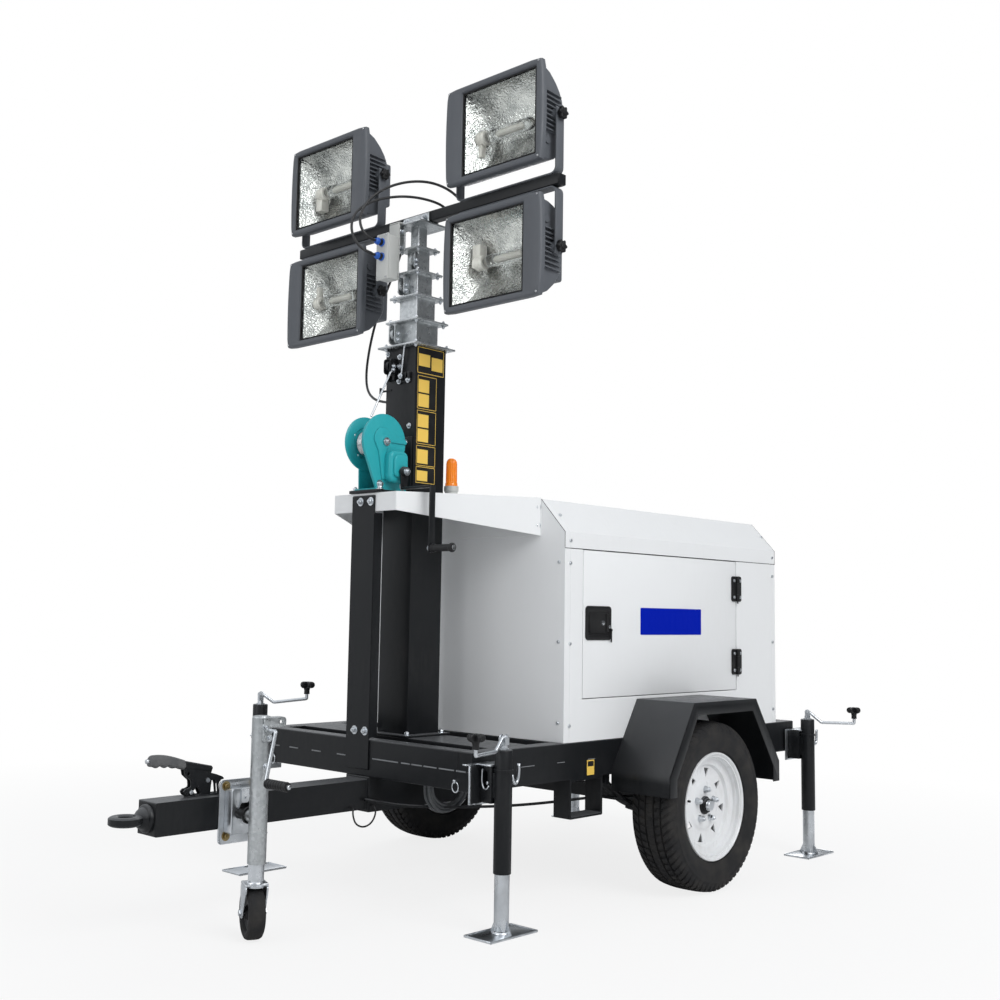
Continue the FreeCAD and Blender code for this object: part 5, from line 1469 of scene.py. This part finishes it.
# %% Jockey jack
JX, JY = 1632, 191
tube = turned([(25.2, 229), (27.8, 229), (28.5, 230), (28.5, 664), (26, 669), (22, 670), (1, 670), (1, 664),
               (25.2, 664)],
              at(JX, JY, 0), "z", 56, closed=False)
clamp = turned([(1, 148.9), (20, 148.9), (20, 170), (1, 170)], at(JX, 0, 366), "y", 40)
lug = eased(block(at(JX - 18, JY + 20, 594), at(JX + 16, JY + 33, 648)), 3, 2)
head = rounded_plate(1.563, 0.636, 1.647, 0.666, 0.010, 5, 0.221, 0.226)
carved(head, rod(at(1583, 215, 652), at(1583, 232, 652), 5))
brim = eased(block(at(1574, JY + 8, 663), at(1646, JY + 35, 667)), 1.5)
bearing = eased(rod(at(JX, JY + 31, 628), at(JX, JY + 40, 628), 11), 2)
band = turned([(28.2, 318), (30.2, 319), (30.2, 321), (28.2, 322)], at(JX, JY, 0), "z", 56)
finished(coated(joined(tube, clamp, lug, bearing, band, eased(head, 1.5), brim), "galvanised"), "jockey_jack_tube",
         "jockey_jack", ["jockey_tube"])
crank_rod = bent(rounded_path([at(JX, JY + 36, 628), at(JX, JY + 74, 628), at(JX + 34, JY + 76, 480),
                               at(JX + 35, JY + 190, 478)], 0.011), 6, 4)
nut = turned([(1, 184), (7.6, 184), (7.6, 190), (1, 190)], at(JX + 35, JY, 478), "y", 6)
finished(coated(joined(crank_rod, nut), "zinc"), "jockey_crank", "jockey_jack")
ribs = [(6.4, 84), (13.5, 84), (15, 87), (15, 92)]
for k in range(7):
    ribs += [(13.4, 95 + 12 * k), (13.4, 99 + 12 * k), (14.6, 101 + 12 * k), (14.6, 105 + 12 * k)]
ribs += [(15, 178), (13.5, 183), (6.4, 183)]
finished(coated(turned(ribs, at(JX + 35, JY, 478), "y", 32), "black_plastic"), "jockey_grip", "jockey_jack")
fasteners("jockey_bolts", "jockey_jack", "zinc", "small_bolt",
          [(at(JX - 8, JY + 33, 604), (0, 1, 0)), (at(JX + 8, JY + 33, 638), (0, 1, 0)),
           (at(JX, JY + 28, 520), (0, 1, 0))])

inner = turned([(21, 173), (24, 173), (24, 385), (21, 385)], at(JX, JY, 0), "z", 48)
slide = turned([(24, 356), (24.7, 356), (24.7, 384), (24, 384)], at(JX, JY, 0), "z", 40)
weld = turned([(23.6, 173), (28, 173), (26.5, 177), (23.6, 180)], at(JX, JY, 0), "z", 40)
finished(coated(joined(inner, slide, weld), "zinc"), "jockey_inner", "jockey_leg", ["jockey_leg"])

SWIVEL = Matrix.Translation(at(JX, JY, 0)) @ Matrix.Rotation(math.radians(66), 4, "Z")


def swung(piece):
    """Move a caster part from its own axes, in metres about the jack's foot, to where it stands."""
    piece.data.transform(SWIVEL)
    piece.data.update()
    return piece


def fork_plate(s):
    arc = bow((-30, 80), 17, 200, 340, 8)
    outline = arc + [(20, 150), (20, 160), (14, 166), (-38, 166), (-44, 160), (-44, 150)]
    y0, y1 = sorted((s * 0.030, s * 0.036))
    return eased(plate([(a / 1000, b / 1000) for a, b in outline], "y", y0, y1), 1.5)


crown = eased(block(mm(-44, -36, 164), mm(20, 36, 172.7)), 2.5, 3)
race = turned([(1, 160), (26, 160), (26, 166), (1, 166)], (0, 0, 0), "z", 36, closed=False)
bolt = rod(mm(-30, -42, 80), mm(-30, 42, 80), 6)
heads = [turned([(1, s * 36), (10.5, s * 36), (10.5, s * 42), (8, s * 43), (1, s * 43)], (-0.030, 0, 0.080), "y",
                6) for s in (1, -1)]
finished(coated(swung(joined(crown, race, bolt, fork_plate(1), fork_plate(-1), *heads)), "zinc"),
         "jockey_fork_bracket", "jockey_fork", ["jockey_fork"])
roller = turned([(6.2, -27), (14, -27), (18, -22), (24, -13), (52, -13), (56, -21), (62, -26), (70, -26), (76, -23),
                 (79.2, -17), (80, -8), (80, 8), (79.2, 17), (76, 23), (70, 26), (62, 26), (56, 21), (52, 13),
                 (24, 13), (18, 22), (14, 27), (6.2, 27)],
                (-0.030, 0, 0.080), "y", 64)
finished(coated(swung(roller), "tyre"), "jockey_roller", "jockey_wheel", ["jockey_wheel"])
face = [swung(turned([(8, s * 13.2), (51, s * 13.2), (50, s * 15), (46, s * 14), (22, s * 14), (18, s * 20),
                      (8, s * 20)],
                     (-0.030, 0, 0.080), "y", 48)) for s in (1, -1)]
finished(coated(joined(*face), "black_plastic"), "jockey_wheel_faces", "jockey_wheel")


# %% [markdown]
# The swivel plate is pressed zinc sheet with a raised channel. A round window in the channel shows the dark
# pivot behind it, and a small tab hangs over the window.

# %% Swivel plate
sheet = rounded_plate(1.532, 0.269, 1.680, 0.465, 0.014, 5, 0.0502, 0.056)
channel = rounded_plate(1.552, 0.303, 1.662, 0.441, 0.008, 4, 0.056, 0.096)
hollow = rounded_plate(1.558, 0.309, 1.656, 0.435, 0.005, 3, 0.0558, 0.090)
carved(channel, hollow, rod(at(1606, 80, 374), at(1606, 110, 374), 31, 31, 40))
foot = [eased(block(at(1560, 56, 294), at(1654, 60, 308)), 1.5),
        eased(block(at(1564, 56, 436), at(1650, 60, 448)), 1.5)]
tab = rounded_plate(1.602, 0.397, 1.630, 0.440, 0.006, 4, 0.096, 0.1005)
carved(tab, rod(at(1616, 94, 411), at(1616, 104, 411), 4))
lip = turned([(30.6, 93), (32.4, 93), (32.4, 98), (30.6, 98)], at(1606, 0, 374), "y", 40)
stub = turned([(1, 60), (16, 60), (16, 140), (26, 142), (26, 148.6), (1, 148.6)], at(JX, 0, 366), "y", 36)
pressed = joined(eased(sheet, 1.5), eased(channel, 3, 3), tab, lip, *foot)
finished(coated(pressed, "zinc"), "swivel_pressing", "trailer", ["swivel_plate"])
back = eased(rod(at(1606, 57, 374), at(1606, 60, 374), 40), 0.5, 1)
finished(coated(joined(back, stub), "black_plastic"), "swivel_window", "trailer")
fasteners("swivel_bolts", "trailer", "brass", "bolt",
          [(at(x, 56, z), (0, 1, 0)) for x, z in ((1657, 446), (1652, 294), (1552, 446), (1552, 294))])


# %% [markdown]
# The tow eye is a forged ring on a stepped neck. The hand brake has a ratchet quadrant with cut-outs, a flat
# lever, and a grey rubber grip with four finger bumps.

# %% Tow eye and hand brake
ring_rows = []
for i in range(72):
    a = 2 * math.pi * i / 72
    row = []
    for k in range(20):
        b = 2 * math.pi * k / 20
        r = 37.5 + 12.5 * max(-1, min(1, 1.25 * math.cos(b)))
        z = 366 + 15 * math.sin(b) * (1 if math.cos(b) < 0 else 0.97)
        row.append(at(1972 + r * math.cos(a), r * math.sin(a), z))
    ring_rows.append(row)
eye_ring = skin(ring_rows, closed=True)
neck = turned([(1, 1900.2), (42, 1900.2), (42, 1908), (40, 1911), (34, 1913), (31, 1918), (28, 1926), (22, 1932),
               (16, 1938), (14.4, 1944), (1, 1944)],
              (AXLE, 0, 0.366), "x", 48, closed=False)
eye = joined(eye_ring, neck)
smoothed(eye, 38)
finished(coated(eye, "frame_black"), "towing_eye", "trailer", ["tow_eye"])

quadrant_line = [(1783, 504), (1778, 484), (1768, 475), (1757, 466), (1755, 451), (1757, 446), (1767, 442),
                 (1774, 442), (1782, 434), (1777, 425), (1768, 420), (1763, 417), (1684, 417), (1650, 419),
                 (1653, 445), (1651, 453), (1644, 460), (1636, 461), (1634, 464), (1641, 470), (1665, 479),
                 (1683, 484), (1680, 492)]
openings = [[(1732, 446), (1719, 423), (1737, 420), (1747, 434)],
            [(1680, 461), (1673, 463), (1664, 459), (1660, 449), (1656, 422), (1684, 421), (1682, 444)]]
flanks = []
for y0, y1 in ((0.006, 0.011), (-0.011, -0.006)):
    flank = side_plate(quadrant_line, y0, y1)
    tools = [side_plate(line, y0 - 0.003, y1 + 0.003) for line in openings]
    tools.append(rod(at(1765, y0 * 1000 - 4, 487), at(1765, y1 * 1000 + 4, 487), 5.5))
    flanks.append(eased(carved(flank, *tools), 0.8, 1))
teeth = [rod(at(1700 + 9 * k, -6, 448 + 4 * k), at(1700 + 9 * k, 6, 448 + 4 * k), 4, 4, 12) for k in range(4)]
sole = eased(block(at(1646, -13, 416.2), at(1766, 13, 419)), 1)
lever_line = [(1782, 528), (1682, 506), (1676, 500), (1680, 490), (1686, 488), (1782, 503)]
lever_bar = side_plate(lever_line, -0.0125, 0.0125)
finished(coated(joined(eased(lever_bar, 4, 3), sole, *teeth, *flanks), "frame_black"), "brake_lever", "trailer",
         ["hand_brake"])
rows = []
for i in range(41):
    t = i / 40
    x = 1778 + 126 * t
    top_z = 529 + 22 * math.sin(0.62 * math.pi * t)
    low_z = 499 + 15 * math.sin(0.62 * math.pi * t) + 2.6 * math.cos(2 * math.pi * 4.4 * t) * min(1, 2 * t)
    if t > 0.9:
        low_z += 900 * (t - 0.9) ** 2
        top_z -= 1100 * (t - 0.9) ** 2
    half = 14.5 * (1 - 0.12 * (2 * t - 1) ** 2) * (1 - 0.5 * max(0, (t - 0.95) / 0.05) ** 2)
    mid, tall = (top_z + low_z) / 2, (top_z - low_z) / 2
    rows.append([at(x, half * math.copysign(abs(math.cos(b)) ** 0.75, math.cos(b)),
                    mid + tall * math.copysign(abs(math.sin(b)) ** 0.75, math.sin(b)))
                 for b in [2 * math.pi * k / 28 for k in range(28)]])
handle = skin(rows)
smoothed(handle, 60)
finished(coated(handle, "grip_grey"), "brake_grip", "trailer")
button = turned([(1, 1898), (7, 1898), (7.4, 1906), (6.4, 1911), (1, 1912)], (AXLE, 0, 0.533), "x", 20,
                closed=False)
pins = [turned([(1, s * 11), (7.5, s * 11), (7, s * 15), (1, s * 15.5)], at(x, 0, z), "y", 18) for s in (1, -1)
        for x, z in ((1696, 463), (1755, 431))]
finished(coated(joined(button, *pins), "zinc"), "brake_button", "trailer")


# %% [markdown]
# The canopy's walls come from CAD. The doors are modelled again with a foam pad inside, black hinges, a black
# sunken latch and a blank blue plate. The right door is the left one mirrored.

# %% Doors, hinges and latches
def mirrored(piece, side):
    """Flip a finished left-hand part to the right side."""
    if side < 0:
        piece.data.transform(Matrix.Scale(-1, 4, (0, 1, 0)))
        outward(piece)
    return piece


def framed(x0, x1, z0, z1, y0, y1, reach=0.010):
    """A round-cornered plate on the left face, in axle millimetres."""
    return rounded_plate(x0 / 1000, z0 / 1000, x1 / 1000, z1 / 1000, reach, 5, y0 / 1000, y1 / 1000)


for tag, side in (("left", 1), ("right", -1)):
    body = "door_" + tag
    leaf = carved(block(at(-514, 516, 702), at(502.5, 546, 1226.6)), block(at(-474, 510, 744), at(460, 524, 1184)))
    leaf = mirrored(eased(leaf, 2.5, 2), side)
    finished(coated(leaf, "canopy_white"), "door_leaf_" + tag, body, ["door_" + tag])
    foam = mirrored(eased(block(at(-470, 518, 748), at(456, 523.8, 1180)), 2), side)
    finished(coated(foam, "gasket"), "door_foam_" + tag, body)

    dish = carved(framed(342, 492, 906, 1028, 546, 550.5, 0.014), framed(356, 478, 924, 1010, 547.5, 553, 0.006))
    lever = framed(368, 470, 930, 1004, 547.4, 549.6, 0.010)
    pull = eased(block(at(360, 547.6, 936), at(374, 553, 1000)), 2, 2)
    key = [rod(at(348, 550, 942), at(348, 556, 942), 6, 5.5, 16),
           eased(block(at(342, 552, 898), at(350, 554, 938)), 0.8, 1)]
    latch = mirrored(joined(eased(dish, 1.5), eased(lever, 0.8, 1), pull, *key), side)
    finished(coated(latch, "black_plastic"), "door_latch_" + tag, body)
    lock = mirrored(joined(turned([(1, 549.4), (9, 549.4), (8.4, 553), (1, 553.6)], at(393, 0, 968), "y", 24),
                           turned([(1, 550), (6, 550), (5.4, 554.5), (1, 555)], at(357, 0, 954), "y", 20)), side)
    finished(coated(lock, "zinc"), "door_lock_" + tag, body)

    moving, fixed, moving_screws, fixed_screws = [], [], [], []
    for z in (815, 1114):
        moving += [eased(framed(-512, -478, z - 52, z + 52, 546.2, 552, 0.009), 1.5),
                   rod(at(-516.5, 554, z - 22), at(-516.5, 554, z + 22), 8)]
        fixed += [eased(framed(-550, -521, z - 52, z + 52, 546.2, 552, 0.009), 1.5),
                  eased(rod(at(-516.5, 554, z + 22.5), at(-516.5, 554, z + 52), 8), 1.5),
                  eased(rod(at(-516.5, 554, z - 52), at(-516.5, 554, z - 22.5), 8), 1.5),
                  rod(at(-516.5, 554, z - 60), at(-516.5, 554, z - 52), 3, 2, 12)]
        moving_screws += [(at(-492, side * 552, z + d), (0, side, 0)) for d in (-34, 34)]
        fixed_screws += [(at(-537, side * 552, z + d), (0, side, 0)) for d in (-34, 34)]
    finished(coated(mirrored(joined(*moving), side), "black_plastic"), "hinge_leaves_" + tag, body)
    finished(coated(mirrored(joined(*fixed), side), "black_plastic"), "hinge_plates_" + tag, "trailer")
    fasteners("hinge_screws_" + tag, body, "zinc", "screw", moving_screws)
    fasteners("hinge_plate_screws_" + tag, "trailer", "zinc", "screw", fixed_screws)
badge = eased(framed(-252, 158, 925, 1026, 546.1, 547.4, 0.004), 0.4, 1)
finished(coated(badge, "plate_blue"), "blank_plate", "door_left")


# %% [markdown]
# Round-headed screws hold the canopy's panels to the frame inside. A thin dark line shows where the roof's hem
# overlaps the walls. The rear wall has a pressed louvre panel for the cooling air.

# %% Canopy trim
spots = []
for side in (1, -1):
    spots += [(at(x, side * FRAME_HALF, z), (0, side, 0)) for x in (578, -808) for z in (1256, 1176, 894, 610)]
    spots += [(at(x, side * 490, 1348), (0, side * 0.733, 0.679)) for x in (570, -816)]
    spots += [(at(CANOPY_FRONT, side * y, z), (1, 0, 0)) for y, z in ((520, 1180), (520, 900), (520, 620))]
fasteners("canopy_screws", "trailer", "zinc", "screw", spots)

seams = []
for side in (1, -1):
    y0, y1 = sorted((side * 545.6, side * 546.15))
    seams.append(block(at(CANOPY_REAR, y0, 1227.6), at(CANOPY_FRONT, y1, 1230.0)))
    slope = [(side * 0.5462, 1.2290), (side * 0.5462, 1.2862), (side * 0.4343, 1.4068), (side * 0.4325, 1.4060),
             (side * 0.5443, 1.2853), (side * 0.5443, 1.2290)]
    for x in (0.6068, -0.8332):
        seams.append(plate([(y, z) for y, z in slope], "x", AXLE + x, AXLE + x + 0.0004))
finished(coated(joined(*seams), "gasket"), "canopy_seams", "trailer")

panel = carved(block(at(-837, -330, 660), at(-833.2, 330, 1140)), block(at(-840, -300, 690), at(-830, 300, 1110)))
slats = []
for k in range(14):
    z = 700 + 29.6 * k
    slats.append(plate([(AXLE - 0.8332, z / 1000 + 0.022), (AXLE - 0.8332, z / 1000),
                        (AXLE - 0.8355, z / 1000 - 0.002), (AXLE - 0.8440, z / 1000 + 0.006)][::-1],
                       "y", -0.300, 0.300))
louvres = joined(eased(panel, 1.2), *slats)
finished(coated(louvres, "canopy_white"), "rear_louvres", "trailer")
fasteners("louvre_screws", "trailer", "zinc", "small_screw",
          [(at(-837, y, z), (-1, 0, 0)) for y in (-315, 0, 315) for z in (675, 1125)])

tabs = [eased(plate([(side * a / 1000, b / 1000)
                     for a, b in [(400, 1404), (436, 1370), (436, 1290), (405, 1286)]][::side], "x",
                    AXLE + 0.6072, AXLE + 0.6102), 0.8, 1) for side in (1, -1)]
finished(coated(joined(*tabs), "canopy_white"), "shelf_tabs", "trailer")
fasteners("shelf_bolts", "trailer", "zinc", "bolt",
          [(at(610.2, side * 420, z), (1, 0, 0)) for side in (1, -1) for z in (1377, 1311)]
          + [(at(1074, y, z), (1, 0, 0)) for y in (-14, 40) for z in (1381, 581)])
collar_plate = carved(block(at(742, -88, 1412.1), at(918, 88, 1417)),
                      block(at(763.9, -66.1, 1400), at(896.1, 66.1, 1430)))
finished(coated(eased(collar_plate, 1.5), "frame_black"), "shelf_collar", "trailer")
fasteners("collar_plate_bolts", "trailer", "zinc", "small_bolt",
          [(at(x, side * 77, 1417), (0, 0, 1)) for x in (790, 862) for side in (1, -1)])
fasteners("mast_base_bolts", "trailer", "zinc", "bolt",
          [(at(MAST_X + sx * 86, sy * 86, 560), (0, 0, 1)) for sx in (1, -1) for sy in (1, -1)])


# %% [markdown]
# The frame is two stacked tubes, held by short weld beads along their seam. The beads are grey, lighter than the
# frame, as a painted highlight along the seam. A bent brake pipe runs below, a blank yellow and black label sits on
# the side, and a coil of grey cable hangs under the mast beam.

# %% Frame trim
# Grey beads on the black frame: painted highlight where the tubes' edges catch the light, besides the welds.
bead_highlights = []
for y0, y1 in ((-500, -440), (-380, -330), (-250, -200), (-110, -20), (78, 206), (222, 264), (272, 322), (330, 390),
               (402, 470), (480, 522)):
    bead_highlights.append(rod(at(1068, y0, 489), at(1068, y1, 489), 2.6, 2.2, 10))
for side in (1, -1):
    for x0, x1 in ((430, 470), (600, 640), (760, 830), (960, 1000)):
        bead_highlights.append(rod(at(x0, side * FRAME_HALF, 489), at(x1, side * FRAME_HALF, 489), 1.5, 1.3, 10))
finished(coated(joined(*bead_highlights), "engine_grey"), "weld_beads", "trailer")
label = eased(block(at(434, 546, 434), at(475, 546.8, 486)), 0.3, 1)
finished(coated(label, "plate_yellow"), "blank_label", "trailer")
band = eased(block(at(438, 546.7, 464), at(471, 547.1, 482)), 0.1, 1)
finished(coated(band, "black_plastic"), "blank_label_band", "trailer")
PIPE = [(1085, 60, 352), (1000, 110, 332), (900, 170, 322), (700, 300, 318), (520, 380, 322), (300, 470, 338),
        (120, 540, 330), (60, 560, 320)]
brake_pipe = bent([at(*p) for p in PIPE], 5, 3)
finished(coated(brake_pipe, "frame_black"), "brake_pipe", "trailer")

strands = []
for k, (grow, lean) in enumerate(((0, -7), (-9, -2), (-4, 6), (-14, 3), (-19, -6), (-24, 5))):
    loop = []
    for i in range(49):
        a = 2 * math.pi * i / 48
        loop.append(at(826 + (100 + grow) * math.cos(a) * (1 + 0.02 * math.sin(3 * a + k)),
                       200 + lean + 3 * math.sin(2 * a + k),
                       392 + (90 + grow) * math.sin(a) * (1 + 0.015 * math.cos(2 * a + k))))
    strands.append(bent(loop, 6.5, 3))
finished(coated(joined(*strands), "cable_grey"), "stowed_cable", "trailer", ["cable_coil"])


# %% [markdown]
# With a door open, the engine set shows. It is simple, yet it has the parts that one expects: a finned block,
# a round alternator, a radiator, an air filter and a fuel tank.

# %% Engine set
crank_case = eased(block(at(-200, -170, 640), at(180, 170, 900)), 14, 3)
head_block = eased(block(at(-180, -120, 900), at(160, 120, 1010)), 10, 3)
cover = eased(block(at(-160, -90, 1010), at(140, 90, 1060)), 16, 4)
alternator = turned([(1, -545), (150, -545), (172, -530), (172, -470), (164, -462), (164, -280), (178, -272),
                     (178, -232), (130, -200), (1, -200)],
                    (AXLE, 0, 0.790), "x", 48)
ribs = [eased(block(at(-455 + 22 * k, -168, 700), at(-449 + 22 * k, 168, 880)), 1, 1) for k in range(8)]
side_ribs = [eased(block(at(-170 + 40 * k, -182, 680), at(-158 + 40 * k, 182, 870)), 2, 1) for k in range(8)]
radiator = carved(eased(block(at(230, -240, 600), at(290, 240, 1110)), 6, 2),
                  block(at(280, -210, 640), at(300, 210, 1070)))
fins = [block(at(281, -208, 646 + 14 * k), at(286, 208, 650 + 14 * k)) for k in range(30)]
fan = turned([(1, 190), (60, 190), (60, 215), (150, 218), (150, 228), (1, 228)], (AXLE, 0, 0.850), "x", 36)
skid = [eased(block(at(-540, s * 190 - 25, 552.2), at(340, s * 190 + 25, 640)), 4) for s in (1, -1)]
finished(coated(joined(crank_case, head_block, cover, alternator, *ribs, *side_ribs, radiator, *fins, fan, *skid),
                "engine_grey"),
         "engine_set", "trailer", ["engine_block"])
filter_can = turned([(1, -60), (62, -60), (66, -54), (66, 90), (60, 96), (30, 100), (30, 130), (1, 130)],
                    (AXLE, 0.150, 1.050), "x", 36)
tank = eased(block(at(-540, -250, 960), at(-230, 250, 1115)), 26, 4)
filler = eased(rod(at(-480, 180, 1110), at(-480, 180, 1119), 30), 3)
finished(coated(joined(filter_can, tank, filler), "black_plastic"), "engine_fittings", "trailer")


# %% [markdown]
# The size of the dressed tower is printed. Dressing may not make the tower larger.

# %% Finish
low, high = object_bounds()
print("dressed box", [round(c, 3) for c in low], [round(c, 3) for c in high])
